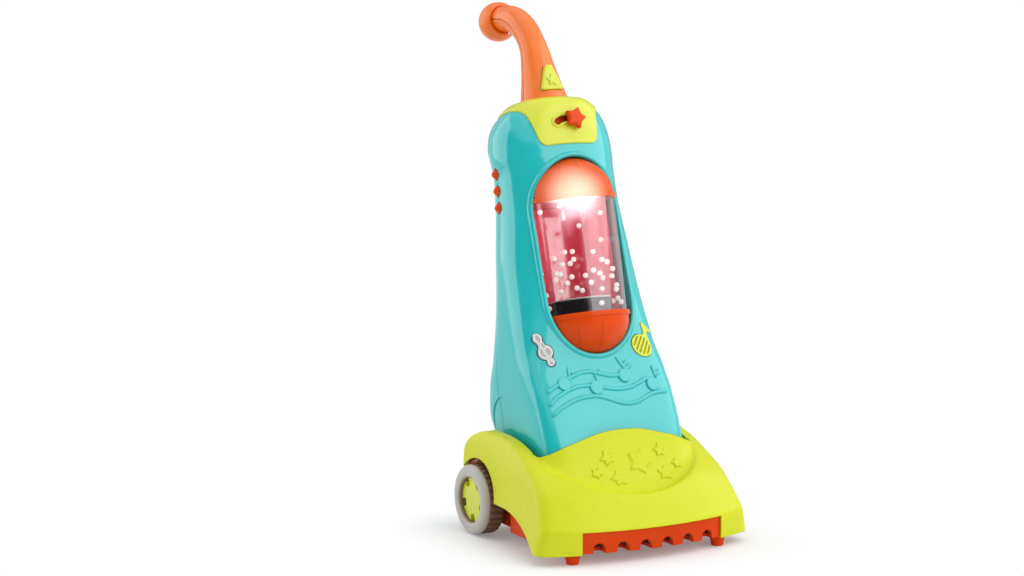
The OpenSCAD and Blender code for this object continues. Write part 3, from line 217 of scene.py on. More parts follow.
MOULDED = bpy.data.node_groups.new("moulded skin", "ShaderNodeTree")
for name, kind, value in (("Colour", "Color", (0.5, 0.5, 0.5, 1)), ("Deep Colour", "Color", (0.4, 0.4, 0.4, 1)),
                          ("Gloss", "Float", 0.25)):
    MOULDED.interface.new_socket(name, in_out="INPUT", socket_type="NodeSocket" + kind).default_value = value
for name, kind in (("Colour", "Color"), ("Roughness", "Float"), ("Ripple", "Float")):
    MOULDED.interface.new_socket(name, in_out="OUTPUT", socket_type="NodeSocket" + kind)
given = MOULDED.nodes.new("NodeGroupInput").outputs
flow = ramp(MOULDED, noise(MOULDED, 11, 3), 0.35, 0.75)
feed(MOULDED, MOULDED.nodes.new("NodeGroupOutput"), {
    "Colour": blend(MOULDED, flow, given["Colour"], given["Deep Colour"]),
    "Roughness": maths(MOULDED, "MULTIPLY_ADD", noise(MOULDED, 70, 4), 0.12, given["Gloss"]),
    "Ripple": noise(MOULDED, 900, 2)})
print("group sockets", len(MOULDED.interface.items_tree))


# %% A plastic from the group
def moulded(name, colour, gloss, deep):
    """A material whose shader takes its colour and roughness from the group, and the group's ripple."""
    made = bpy.data.materials.new(name)
    made.use_nodes = True
    tree = made.node_tree
    skin = add_node(tree, "Group", node_tree=MOULDED)
    feed(tree, skin, {"Colour": (*colour, 1), "Deep Colour": (*[c * deep for c in colour], 1), "Gloss": gloss})
    shader = tree.nodes["Principled BSDF"]
    feed(tree, shader, {"Base Color": skin.outputs["Colour"], "Roughness": skin.outputs["Roughness"]})
    return made, tree, shader, skin.outputs["Ripple"]


def plastic(name, colour, gloss=0.16, edge=0.7, ripple=0.05, deep=0.88, shine=0.3):
    """A moulded plastic: its colour, its roughness, and the radius in mm that rounds its edges."""
    made, tree, shader, height = moulded(name, colour, gloss, deep)
    made.diffuse_color = (*colour, 1)
    rounded = add_node(tree, "Bevel", {"Radius": edge * MM}, samples=4).outputs["Normal"]
    bump = add_node(tree, "Bump", {"Strength": ripple, "Distance": 0.0004, "Height": height, "Normal": rounded})
    feed(tree, shader, {"Normal": bump.outputs["Normal"], "Specular IOR Level": shine})
    return made


TEAL = plastic("teal_plastic", (0.020, 0.540, 0.540), gloss=0.05, deep=0.94, shine=0.65)
LIME = plastic("lime_plastic", (0.670, 0.725, 0.030), gloss=0.2, deep=0.96, shine=0.5)
HOOD_LIME = plastic("hood_lime_plastic", (0.665, 0.715, 0.016), gloss=0.22, deep=0.96, shine=0.2)
ORANGE = plastic("orange_plastic", (0.800, 0.072, 0.004), gloss=0.12, shine=0.15)
BASE_ORANGE = plastic("base_orange_plastic", (0.720, 0.058, 0.005), gloss=0.16, shine=0.08)
# The handle's orange is brighter and yellower than the other orange: partly its own colour, partly painted light.
HANDLE_LIT_ORANGE = plastic("handle_lit_orange_plastic", (0.950, 0.190, 0.014), gloss=0.16, shine=0.45)
OFF_WHITE = plastic("off_white_plastic", (0.780, 0.785, 0.760), edge=0.5)
print("plastics", [m.name for m in (TEAL, LIME, HOOD_LIME, ORANGE, BASE_ORANGE, HANDLE_LIT_ORANGE, OFF_WHITE)])

# %% [markdown]
# The tyre's outer wall is plain grey. Its tread is painted brown as orange light bounced from the base, and
# its bore is painted dark as shade, so a mask tells them apart by the distance from the middle of the toy
# and from the axle.

# %% Tyre plastic
WALL_IN, WALL_OUT, BORE_IN, BORE_OUT, AXLE_AT = 0.1070, 0.1095, 0.0222, 0.0240, (0, 0, 0.035)
TYRE = plastic("tyre_plastic", (0.520, 0.500, 0.455), gloss=0.34, ripple=0.12)
tree = TYRE.node_tree
coords = add_node(tree, "TexCoord").outputs["Object"]
outward = maths(tree, "ABSOLUTE", add_node(tree, "SeparateXYZ", {0: coords}).outputs["X"])
from_axle = vector(tree, "DISTANCE", vector(tree, "MULTIPLY", coords, (0, 1, 1)), AXLE_AT)
unshaded_wall = maths(tree, "MINIMUM", ramp(tree, outward, WALL_IN, WALL_OUT), ramp(tree, from_axle, BORE_IN, BORE_OUT))
# Painted bounce and shade: the brown goes on the tread and the bore, and the grey stays on the outer wall.
feed(tree, next(n for n in tree.nodes if n.type == "GROUP"), {
    "Colour": blend(tree, unshaded_wall, (0.21, 0.12, 0.065, 1), (0.520, 0.500, 0.455, 1)),
    "Deep Colour": blend(tree, unshaded_wall, (0.17, 0.09, 0.05, 1), (0.460, 0.440, 0.400, 1))})
print("tyre nodes", len(tree.nodes))

# %% [markdown]
# ## Making a piece
# A finished piece is one mesh in the toy's frame. Its doubles are merged, its faces point outwards, its
# soft edges are shaded smooth and its hard ones sharp, and it rides on the CAD body that carries it.

# %% Turn a bmesh into a piece
def shift(x, y, z):
    return Matrix.Translation((x, y, z))


def turned(degrees, axis):
    return Matrix.Rotation(radians(degrees), 4, axis)


UPRIGHT = shift(0, -16, 72) @ turned(-15, "X")
WORLD = Matrix.Identity(4)


def merged(bm):
    bmesh.ops.remove_doubles(bm, verts=bm.verts, dist=0.002)
    return bm


def outwards(bm):
    bmesh.ops.recalc_face_normals(bm, faces=bm.faces)
    return bm


def moved(bm, matrix):
    bmesh.ops.transform(bm, matrix=matrix, verts=bm.verts)
    return bm


def piece(bm, name, body, finish, place=UPRIGHT, stands_for=(), crease=32, recalc=True):
    moved(merged(bm), Matrix.Scale(MM, 4) @ place)
    if recalc:
        outwards(bm)
    for face in bm.faces:
        face.smooth = True
    for e in bm.edges:
        e.smooth = len(e.link_faces) == 2 and e.calc_face_angle(0) < radians(crease)
    mesh = bpy.data.meshes.new(name)
    bm.to_mesh(mesh)
    bm.free()
    mesh.materials.append(finish)
    made = bpy.data.objects.new(name, mesh)
    scene.collection.objects.link(made)
    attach(made, body)
    if stands_for:
        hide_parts(*stands_for)
    print(name, len(mesh.polygons), "faces")


# %% [markdown]
# A skin is made from a plain grid whose vertices are moved to their places, one by one. A body of
# revolution is a profile that is spun. A cut uses the Boolean modifier on two throw-away objects.

# %% Grid, spin and prism
def sheet(across, along, place):
    """A grid whose vertex at (u, v), both from 0 to 1, is moved to place(u, v)."""
    bm = bmesh.new()
    bmesh.ops.create_grid(bm, x_segments=across, y_segments=along, size=0.5)
    for v in bm.verts:
        v.co = place(v.co.x + 0.5, v.co.y + 0.5)
    return merged(bm)


def close_ends(bm):
    bmesh.ops.holes_fill(bm, edges=[e for e in bm.edges if e.is_boundary], sides=0)
    return outwards(bm)


def lathe(profile, steps, closed=False):
    """Spins a profile of (radius, height) points about the upright axis."""
    bm = bmesh.new()
    verts = [bm.verts.new((r, 0, z)) for r, z in profile]
    edges = [bm.edges.new(pair) for pair in zip(verts, verts[1:])]
    if closed:
        edges.append(bm.edges.new((verts[-1], verts[0])))
    bmesh.ops.spin(bm, geom=verts + edges, cent=(0, 0, 0), axis=(0, 0, 1), angle=tau,
                   steps=steps, use_merge=True)
    return outwards(merged(bm))


def verts_of(made):
    return [v for v in made["geom"] if isinstance(v, bmesh.types.BMVert)]


def prism(points, depth, matrix=WORLD):
    """A flat outline, pushed along its own upright axis from 0 to depth."""
    bm = bmesh.new()
    face = bm.faces.new([bm.verts.new((x, y, 0)) for x, y in points])
    grown = bmesh.ops.extrude_face_region(bm, geom=[face])
    bmesh.ops.translate(bm, vec=(0, 0, depth), verts=verts_of(grown))
    return moved(outwards(bm), matrix)


def block(low, high):
    bm = bmesh.new()
    bmesh.ops.create_cube(bm, size=1)
    low, high = Vector(low), Vector(high)
    for v in bm.verts:
        v.co = Vector(((low[i] + high[i]) / 2 + v.co[i] * (high[i] - low[i]) for i in range(3)))
    return bm


def bar(radius, length, matrix, steps):
    """A round bar along the upright axis of a matrix, centred on it."""
    bm = bmesh.new()
    bmesh.ops.create_cone(bm, cap_ends=True, segments=steps, radius1=radius, radius2=radius, depth=length)
    return moved(bm, matrix)


# %% Join and cut
def join(*meshes):
    whole = meshes[0]
    for other in meshes[1:]:
        data = bpy.data.meshes.new("joined")
        other.to_mesh(data)
        other.free()
        whole.from_mesh(data)
        bpy.data.meshes.remove(data)
    return whole


def combine(bm, tool, how):
    """The Boolean of two closed meshes."""
    pair = []
    for part in (bm, tool):
        data = bpy.data.meshes.new("part")
        part.to_mesh(data)
        part.free()
        pair.append(bpy.data.objects.new("part", data))
        scene.collection.objects.link(pair[-1])
    mod = pair[0].modifiers.new("cut", "BOOLEAN")
    mod.operation, mod.object, mod.solver = how, pair[1], "MANIFOLD"
    bpy.context.view_layer.update()
    evaluated = pair[0].evaluated_get(bpy.context.evaluated_depsgraph_get())
    made = bmesh.new()
    made.from_mesh(evaluated.to_mesh())
    evaluated.to_mesh_clear()
    for part in pair:
        data = part.data
        bpy.data.objects.remove(part)
        bpy.data.meshes.remove(data)
    return made


def cut(bm, *tools):
    for tool in tools:
        bm = combine(bm, tool, "DIFFERENCE")
    return bm


# %% Walls, arcs and soft steps
def thicken(bm, wall):
    """Gives an open skin its wall, inwards."""
    bmesh.ops.solidify(bm, geom=bm.faces[:], thickness=wall)
    return bm


def face_out(bm, measure, way):
    """Turns a skin so that its leading face, the least one by a measure of its middle, looks along way."""
    outwards(bm)
    lead = min(bm.faces, key=lambda f: measure(f.calc_center_median()))
    if lead.normal.dot(Vector(way)) < 0:
        bmesh.ops.reverse_faces(bm, faces=bm.faces)
    return bm


def arc(radius, turns, x=0, y=0):
    """Points on a circle, at angles in radians."""
    return [(x + radius * cos(a), y + radius * sin(a)) for a in turns]


def clamp(value, low=0, high=1):
    return min(max(value, low), high)


def ease(t):
    """A soft step from 0 to 1."""
    return t * t * (3 - 2 * t)


def row_at(rows, v):
    """The row of a list at a share of its length."""
    return rows[round(v * (len(rows) - 1))]


def spun(r, a, z):
    return Vector((r * cos(a), r * sin(a), z))


print("mesh helpers ready")


# %% [markdown]
# ## The upright's skin
# The body is a leaning shell whose section changes from an almost square foot to an oval shoulder. Rows
# of half width, front reach, back reach and squareness describe it. A smooth curve goes through the rows,
# and each section is a superellipse, walked by its length so that the grid lines lie evenly.

# %% Rows of the body
BODY_H, BODY_HALF, BODY_FRONT, BODY_BACK, SEAM = 355, 79, 90, 42, 4
BODY_SHARES = np.array([
    [-0.056, 0.987, 0.972, 0.590, 8], [0, 1, 1, 0.705, 8], [0.056, 1, 0.972, 0.743, 8], [0.149, 1, 0.894, 1, 8],
    [0.214, 1, 0.817, 0.925, 6.5], [0.299, 0.975, 0.758, 0.810, 4.2], [0.442, 0.924, 0.748, 0.705, 2.8],
    [0.555, 0.885, 0.746, 0.695, 2.4], [0.727, 0.800, 0.740, 0.630, 2.3], [0.808, 0.789, 0.734, 0.555, 2.3],
    [0.842, 0.806, 0.722, 0.571, 2.3], [0.879, 0.801, 0.706, 0.631, 2.4], [0.918, 0.773, 0.684, 0.579, 2.4],
    [0.946, 0.722, 0.664, 0.479, 2.4], [0.968, 0.645, 0.645, 0.320, 2.4], [0.983, 0.566, 0.620, 0.195, 2.4],
    [0.994, 0.475, 0.578, 0.110, 2.3], [1, 0.316, 0.494, 0.067, 2.2],
])


def through(knots, values, at):
    """A smooth curve through the knots that never overshoots them."""
    step = np.diff(knots)
    rise = np.diff(values) / step
    slope = np.zeros(len(knots))
    slope[0], slope[-1] = rise[0], rise[-1]
    for i in range(1, len(knots) - 1):
        if rise[i - 1] * rise[i] > 0:
            a, b = 2 * step[i] + step[i - 1], step[i] + 2 * step[i - 1]
            slope[i] = (a + b) / (a / rise[i - 1] + b / rise[i])
    k = np.clip(np.searchsorted(knots, at) - 1, 0, len(step) - 1)
    t = (at - knots[k]) / step[k]
    return (values[k] * (1 + 2 * t) * (1 - t) ** 2 + slope[k] * step[k] * t * (1 - t) ** 2
            + values[k + 1] * t * t * (3 - 2 * t) + slope[k + 1] * step[k] * t * t * (t - 1))


def lengths(points):
    """The way gone along a line of points, at each of them."""
    return np.concatenate([[0], np.cumsum(np.hypot(*np.diff(np.asarray(points, float), axis=0).T))])


LOW_W, WALK_STEPS = -20, 160
HEIGHTS = np.arange(LOW_W, BODY_H + 1, dtype=float)
ROWS = [through(BODY_SHARES[:, 0] * BODY_H, BODY_SHARES[:, k] * scale, HEIGHTS)
        for k, scale in ((1, BODY_HALF), (2, BODY_FRONT), (3, BODY_BACK), (4, 1))]
WALK = np.linspace(0, 1, WALK_STEPS + 1)
TURNS = np.radians(np.linspace(-90, 90, 721))
SKIN_X, SKIN_V = np.zeros((2, len(HEIGHTS), WALK_STEPS + 1))
for i, (half, front, back, square) in enumerate(zip(*ROWS)):
    c, s = np.abs(np.cos(TURNS)), np.sin(TURNS)
    reach = (c ** square + np.abs(s) ** square) ** (-1 / square)
    xs, vs = half * reach * c, (back - front) / 2 + (back + front) / 2 * reach * s
    gone = lengths(np.stack((xs, vs), 1))
    SKIN_X[i], SKIN_V[i] = np.interp(WALK, gone / gone[-1], xs), np.interp(WALK, gone / gone[-1], vs)
SEAM_WALK = np.array([np.interp(SEAM, row, WALK) for row in SKIN_V])
WIDEST = SKIN_X.argmax(1)
print("body rows", SKIN_X.shape)


# %% A point of the skin
STEP_S, STEP_W = 0.006, 1.5


def skin_at(s, w):
    """A point of the body: s walks from the front (0) round the right (+) or left (-) to the back (1)."""
    s = s - 2 if s > 1 else s + 2 if s < -1 else s
    a, b = clamp(w - LOW_W, 0, len(HEIGHTS) - 1.001), min(abs(s) * WALK_STEPS, WALK_STEPS - 0.001)
    i, j = int(a), int(b)
    a, b = a - i, b - j
    x, v = ((1 - a) * ((1 - b) * t[i, j] + b * t[i, j + 1]) + a * ((1 - b) * t[i + 1, j] + b * t[i + 1, j + 1])
            for t in (SKIN_X, SKIN_V))
    return Vector((copysign(x, s), v, w))


def skin_out(s, w):
    """The outward direction, across two small steps on the skin."""
    w = clamp(w, LOW_W + 2, BODY_H - 2)
    around = skin_at(s + STEP_S, w) - skin_at(s - STEP_S, w)
    return around.cross(skin_at(s, w + STEP_W) - skin_at(s, w - STEP_W)).normalized()


def on_skin(s, w, lift=0.0):
    return skin_at(s, w) + skin_out(s, w) * lift if lift else skin_at(s, w)


def walk_to(x, w):
    """The walk on the front that reaches a width."""
    i = int(round(clamp(w - LOW_W, 0, len(HEIGHTS) - 1)))
    j = WIDEST[i] + 1
    return copysign(float(np.interp(abs(x), SKIN_X[i, :j], WALK[:j])), x)


def seam_at(w):
    return float(np.interp(w, HEIGHTS, SEAM_WALK))


print("front of the body at mid height", [round(c, 1) for c in on_skin(0, 180)])

# %% [markdown]
# ## Front shell
# The front half of the body has a tall window with a rolled bead round it. If the window were cut from a
# finished skin, its rim would be ragged. So the grid is laid round the window like the rings of an onion:
# the first rings roll over the bead, and the others spread out to the seam, the foot and the shoulder.

# %% Rings round the window
WINDOW_HALF, WINDOW_RUN, WINDOW_END, WINDOW_W = 46.4, 45.5, 53.5, 195
BEAD = [(0, -9), (0, -4), (0, 0.7), (0.4, 1.55), (1.2, 2.2), (2.3, 2.45), (3.4, 2.2), (4.3, 1.5), (4.85, 0.55),
        (5.2, 0.1), (5.8, 0), (6.8, 0), (8.2, 0)]
SPREAD, AROUND, SEAM_GAP = 40, 248, 0.0015


def window_point(u, grow):
    """A point of the window's outline, pushed out by grow: straight sides and half ellipses."""
    a = (u % 1) * 4
    half, end = WINDOW_HALF + grow, WINDOW_END + grow
    leg, t = int(a), a - int(a)
    if leg in (0, 2):
        turn = pi * t + (0 if leg == 0 else pi)
        return half * cos(turn), WINDOW_W + (WINDOW_RUN if leg == 0 else -WINDOW_RUN) + end * sin(turn)
    return (-half if leg == 1 else half), WINDOW_W + WINDOW_RUN * (1 - 2 * t) * (1 if leg == 1 else -1)


def front_point(u, v):
    ring = round(v * (len(BEAD) - 1 + SPREAD))
    if ring < len(BEAD):
        grow, lift = BEAD[ring]
        x, w = window_point(u, grow)
        p = on_skin(walk_to(x, w), w, max(lift, 0))
        return p + Vector((0, -min(lift, 0), 0))
    x, w = window_point(u, BEAD[-1][0])
    a, b = walk_to(x, w) / seam_at(w), w - WINDOW_W
    edge_w = (BODY_H - WINDOW_W) if b > 0 else (WINDOW_W - LOW_W)
    far = min(1 / max(abs(a), 1e-6), edge_w / max(abs(b), 1e-6))
    t = (ring - len(BEAD) + 1) / SPREAD
    k = 1 + (far - 1) * (0.55 * t + 0.45 * t * t)
    w = WINDOW_W + b * k
    return on_skin(a * k * seam_at(w) * (1 - SEAM_GAP), w)


SHELL_WALL = 2.4
front = sheet(AROUND, len(BEAD) - 1 + SPREAD, front_point)
thicken(face_out(front, lambda p: (p - Vector((0, -90, 20))).length, (0, -1, 0)), SHELL_WALL)
print("front skin", len(front.faces))

# %% [markdown]
# Holes are cut where the buttons pass through, and a shallow arch is pressed into each lower side. The
# tools are simple prisms that stand on the skin.

# %% Cut the front shell
def stand_on_skin(x, w, turn=0.0):
    """A frame on the front skin: its third axis looks outwards, its second one up the body."""
    s = walk_to(x, w)
    out = skin_out(s, w)
    side = Vector((0, 0, 1)).cross(out).normalized()
    up = out.cross(side).normalized()
    m = Matrix((side, up, out)).transposed().to_4x4()
    return Matrix.Translation(on_skin(s, w)) @ m @ turned(turn, "Z")


RECESS_HALF, RECESS_TOP, RECESS_DEEP = 22, 66, 1.2
arch = (arc(RECESS_HALF, np.linspace(0, pi, 33), 0, RECESS_TOP - RECESS_HALF)
        + [(-RECESS_HALF, -60), (RECESS_HALF, -60)])


def sideways(side, x, z=0):
    """A frame on one side of the toy, at a height: its third axis looks out to that side."""
    return Matrix(((0, 0, side, side * x), (1, 0, 0, 0), (0, 1, 0, z), (0, 0, 0, 1)))


def recess_tools():
    """Two arched prisms that lie outside the lower sides."""
    return join(*(outwards(prism(arch, 20, sideways(side, BODY_HALF - RECESS_DEEP))) for side in (1, -1)))


CLEF_AT, CLEF_TURN, CLEF_H = (-58.3, 104.6), 22, 36
NOTE_AT, NOTE_TURN, NOTE_LONG, NOTE_SHORT = (50, 101), 136.4, 12.5, 10.4
SIDE_WS, SIDE_V, SIDE_D = (287, 270, 253), -16, 11


def side_frame(w):
    """The place of a side button: its third axis looks out to the left."""
    half = float(np.interp(w, HEIGHTS, ROWS[0]))
    return shift(-half, SIDE_V, w) @ turned(-90, "Y")


front = cut(front, recess_tools(), *(bar(SIDE_D / 2 + 0.6, 16, side_frame(w), 32) for w in SIDE_WS))
print("front shell cut", len(front.faces))

# %% Clef and note holes
CLEF_BALLS, CLEF_STEM = ((0.361, 0.128), (-0.083, 0.211), (-0.403, 0.111)), 0.089
NOTE_MID = (0.2, -1.05)


def clef_outline(grow):
    """Outline of the clef button: a small loop, a belly and a ball on one stem, walked round."""
    grow = grow / CLEF_H
    (top, top_r), _, (low, low_r) = CLEF_BALLS
    right = []
    for y in np.linspace(top + top_r + grow, low - low_r - grow, 61):
        wide = [sqrt(max(0, (r + grow) ** 2 - (y - c) ** 2)) for c, r in CLEF_BALLS]
        right.append((max(*wide, CLEF_STEM + grow if low < y < top else 0) * CLEF_H, y * CLEF_H))
    return right[1:-1] + [(0, right[-1][1])] + [(-x, y) for x, y in reversed(right[1:-1])] + [(0, right[0][1])]


def note_head(grow):
    """Outline of the note's head: an oval that leans to the left."""
    c, s = cos(radians(NOTE_TURN)), sin(radians(NOTE_TURN))
    oval = [(x * (NOTE_LONG + grow), y * (NOTE_SHORT + grow)) for x, y in arc(1, np.linspace(0, tau, 65)[:-1])]
    return [(NOTE_MID[0] + x * c - y * s, NOTE_MID[1] + x * s + y * c) for x, y in oval]


clef_frame = stand_on_skin(*CLEF_AT, CLEF_TURN)
front = cut(front, prism(clef_outline(0.9), 16, clef_frame @ shift(0, 0, -8)),
            prism(note_head(0.6), 16, stand_on_skin(*NOTE_AT) @ shift(0, 0, -8)))
print("front shell with its holes", len(front.faces))

# %% Slot of the star lever
STAR_W, STAR_TILT, SWING_R, SWING_HALF = 333, 8, 20, 33
STAR_FRAME = (shift(0, -np.interp(STAR_W, HEIGHTS, ROWS[1]) - 1.8, STAR_W) @ turned(90 - STAR_TILT, "X")
              @ shift(0, -SWING_R, 0))


def slot_outline(width):
    """The curved slot of the star lever, about its pin."""
    a0, a1 = radians(90 - SWING_HALF), radians(90 + SWING_HALF)
    near, far = arc(SWING_R, (a0, a1))
    half = width / 2
    return (arc(SWING_R + half, np.linspace(a0, a1, 25)) + arc(half, np.linspace(a1, a1 + pi, 17)[1:-1], *far)
            + arc(SWING_R - half, np.linspace(a1, a0, 25))
            + arc(half, np.linspace(a0 + pi, a0 + tau, 17)[1:-1], *near))


front = cut(front, prism(slot_outline(8), 30, STAR_FRAME @ shift(0, 0, -15)))
piece(front, "front_skin", "upright", TEAL, stands_for=["front_shell"], recalc=False)

# %% [markdown]
# ## Rear shell and battery door
# The rear half is a plain curved shell. It is cut for the battery door and its screws, and the door is
# the very patch that was cut out, a hair smaller, so that the curve runs on across the gap.

# %% Rear skin
def rear_point(u, v):
    w = LOW_W + (BODY_H - LOW_W) * v
    start = seam_at(w) * (1 + SEAM_GAP)
    s = start + (1 - start) * 2 * u if u <= 0.5 else -(1 - (1 - start) * (2 * u - 1))
    return on_skin(s, w)


def rear_skin():
    bm = sheet(96, 120, rear_point)
    return thicken(face_out(bm, lambda p: (p - Vector((0, 30, 180))).length, (0, 1, 0)), SHELL_WALL)


DOOR_HALF, DOOR_LOW, DOOR_HIGH, DOOR_GAP = 33.25, 22.75, 84.25, 0.3
SCREWS = [(58, 66), (57, 172), (51, 268)]


def door_block(grow):
    return block((-DOOR_HALF - grow, SEAM, DOOR_LOW - grow), (DOOR_HALF + grow, 90, DOOR_HIGH + grow))


screw_holes = [bar(3.3, 40, shift(side * x, 32, w) @ turned(90, "X"), 32) for x, w in SCREWS for side in (1, -1)]
rear = cut(rear_skin(), door_block(DOOR_GAP), recess_tools(), *screw_holes)
piece(rear, "rear_skin", "upright", TEAL, stands_for=["rear_shell"], recalc=False)
door = combine(rear_skin(), door_block(0), "INTERSECT")
piece(door, "door_skin", "upright", TEAL, stands_for=["battery_door"], recalc=False)

# %% [markdown]
# ## Head cover
# The lime cover is a bowed hood: each level of it is an arc about a point far behind, with round corners
# and two straight sides. The hollow in its top is a dish with a raised back rim, and here it is pressed
# into the hood's own grid, so that its front edge is soft, as on the moulded part.

# %% Levels of the hood
AXIS_Y, BOW_R, HEAD_HALF, CORNER_R, HOOD_LOW, HOOD_H, FENDER_BACK = 114, 289.2, 118, 14, 10, 94, 30
HOOD_SHARES = np.array([
    [0, 1, 1, 0.899, 1], [0.213, 1, 0.970, 0.899, 1], [0.340, 0.979, 0.945, 0.899, 1],
    [0.489, 0.945, 0.915, 0.899, 1], [0.596, 0.914, 0.898, 0.899, 1], [0.702, 0.866, 0.877, 0.895, 1],
    [0.777, 0.821, 0.862, 0.889, 0.98], [0.872, 0.762, 0.843, 0.877, 0.75], [0.936, 0.703, 0.830, 0.860, 0.45],
    [0.979, 0.650, 0.814, 0.838, 0.15], [1, 0.593, 0.797, 0.817, -0.13],
])
STEPS_SIDE, STEPS_CORNER, STEPS_BOW, STEPS_BACK = 16, 10, 84, 24
LEVELS = 84
HOOD_ROWS = np.arange(float(len(HOOD_SHARES)))
LEVEL_AT = np.linspace(0, HOOD_ROWS[-1], LEVELS + 1)
HOOD = np.array([through(HOOD_ROWS, shares, LEVEL_AT) for shares in HOOD_SHARES.T])


def level_outline(row, inset):
    _, share_r, share_half, share_back, share_end = HOOD[:, row]
    r, half, back = share_r * BOW_R - inset, share_half * HEAD_HALF - inset, share_back * HEAD_HALF - inset
    end = share_end * FENDER_BACK - inset
    turn_x = half - CORNER_R
    turn_y = AXIS_Y - sqrt((r - CORNER_R) ** 2 - turn_x ** 2)
    span = atan2(turn_x, AXIS_Y - turn_y)
    bow = [(r * sin(a), AXIS_Y - r * cos(a)) for a in np.linspace(0, span, STEPS_BOW // 2 + 1)]
    corner = [(turn_x + CORNER_R * sin(a), turn_y - CORNER_R * cos(a))
              for a in np.linspace(span, pi / 2, STEPS_CORNER + 1)[1:]]
    side = [(half + (back - half) * t, turn_y + (end - turn_y) * t) for t in np.linspace(0, 1, STEPS_SIDE + 1)[1:]]
    rear = [(back * (1 - t), end) for t in np.linspace(0, 1, STEPS_BACK // 2 + 1)[1:]]
    right = bow + corner + side + rear
    return right + [(-x, y) for x, y in reversed(right[1:-1])] + [right[0]]


HOOD_CURVE = sorted((HOOD[1, k] * BOW_R, HOOD_LOW + HOOD[0, k] * HOOD_H) for k in range(12, LEVELS + 1))
HOOD_RS, HOOD_ZS = np.array(HOOD_CURVE).T
print("hood levels", LEVELS + 1)

# %% The dish
DISH_HALF, DISH_SIDE, DISH_FRONT, RIM_AHEAD, RIM_SIDE, RIM_TOP, RIM_W = 87.4, 84, 155, 101.9, 92, 114.5, 184
BOWL_DEEP, BOWL_REACH, BOWL_PEAK = 6, 0.77, 27 / 4
RIM_STRAIGHT, RIM_BEND, RIM_BACK = 55, 32.6, 16.5
DROP_FROM, DROP_RUN, DROP = 58, 29.4, 6.5
PULL_Y, PULL_Z, SOFT_EDGE, DISH_LEVEL = 0.305, 0.14, 1.6, 20


def hood_z(x, y):
    return float(np.interp(hypot(x, AXIS_Y - y), HOOD_RS, HOOD_ZS))


def rim_y(x):
    """The rim's plan: straight in the middle, bent back round the corners of the upright."""
    t = clamp((abs(x) - RIM_STRAIGHT) / RIM_BEND)
    return -RIM_AHEAD + RIM_BACK * (1 - sqrt(1 - t * t))


def rim_z(x):
    """The rim's height: an arch that drops at the corners."""
    arched = RIM_SIDE + (RIM_TOP - RIM_SIDE) * sqrt(max(0, 1 - (2 * x / RIM_W) ** 2))
    return arched - DROP * ease(clamp((abs(x) - DROP_FROM) / DROP_RUN))


def dish_z(x, y):
    """Height of the dish over a place of its plan, and how far that place lies behind its front edge."""
    edge = -DISH_SIDE - (DISH_FRONT - DISH_SIDE) * sqrt(max(0.0, 1 - (x / DISH_HALF) ** 2))
    run = edge - rim_y(x)
    if run > -2:
        return None, 0.0
    low, high = hood_z(x, edge), rim_z(x)
    pull, pull_z = PULL_Y * run, low + PULL_Z * (high - low)
    a, b = run - 2 * pull, 2 * pull
    t = (-b - sqrt(max(0.0, b * b + 4 * a * (y - rim_y(x))))) / (2 * a)
    t = clamp(t, -0.15, 1.15)
    round_in = hypot(x / DISH_HALF, min(0.0, y + DISH_SIDE) / (DISH_FRONT - DISH_SIDE))
    q = clamp((1 - round_in) / BOWL_REACH)
    bowl = BOWL_DEEP * BOWL_PEAK * q * (1 - q) ** 2
    return (1 - t) ** 2 * high + 2 * t * (1 - t) * pull_z + t * t * low - bowl, y - edge


def soft_min(a, b, reach):
    h = clamp(0.5 + 0.5 * (b - a) / reach)
    return b + (a - b) * h - reach * h * (1 - h)


def dished(x, y, z):
    """The hood's height at a place, with the dish pressed in."""
    if abs(x) > DISH_HALF - 0.3 or y < -DISH_FRONT - 12 or y > rim_y(x) + 9:
        return z
    hollow, inside = dish_z(x, y)
    if hollow is None or inside < -7:
        return z
    pressed = soft_min(hollow, z, SOFT_EDGE)
    near = ease(clamp((inside - 3) / 6)) * min(1, (DISH_HALF - abs(x)) / 3)
    return pressed + (hollow - pressed) * near


def hood_solid(inset, drop):
    levels = [level_outline(k, inset) for k in range(LEVELS + 1)]
    count = len(levels[0]) - 1

    def place(u, v):
        k, j = round(v * LEVELS), round(u * count)
        x, y = levels[k][j]
        z = HOOD_LOW + HOOD[0, k] * HOOD_H
        return Vector((x, y, (dished(x, y, z) if k > DISH_LEVEL else z) - drop))

    return close_ends(sheet(count, LEVELS, place))


hood = hood_solid(0, 0)
print("hood", len(hood.faces))

# %% [markdown]
# The cover is hollow, open below and open at the back where the upright stands in its well. A second,
# smaller hood hollows it out, and boxes and bars cut the well, the wheel arches, the comb's notch and the
# arcs under the sides.

# %% Hollow and cut the cover
COVER_WALL, WELL_HALF, AXLE_Z, ARCH_R, CUT_BACK, CUT_LOW = 2.4, 86.3, 35, 41, 60, -5
SWEEP_Y, SWEEP_Z, SWEEP_TOP, SWEEP_R, NOTCH_HALF = -59, -81, 38.9, 120, 77.5


def side_block(side, near, far, front, low, high):
    """A box between two distances from the middle, on one side of the toy."""
    xs = sorted((side * near, side * far))
    return block((xs[0], front, low), (xs[1], CUT_BACK, high))


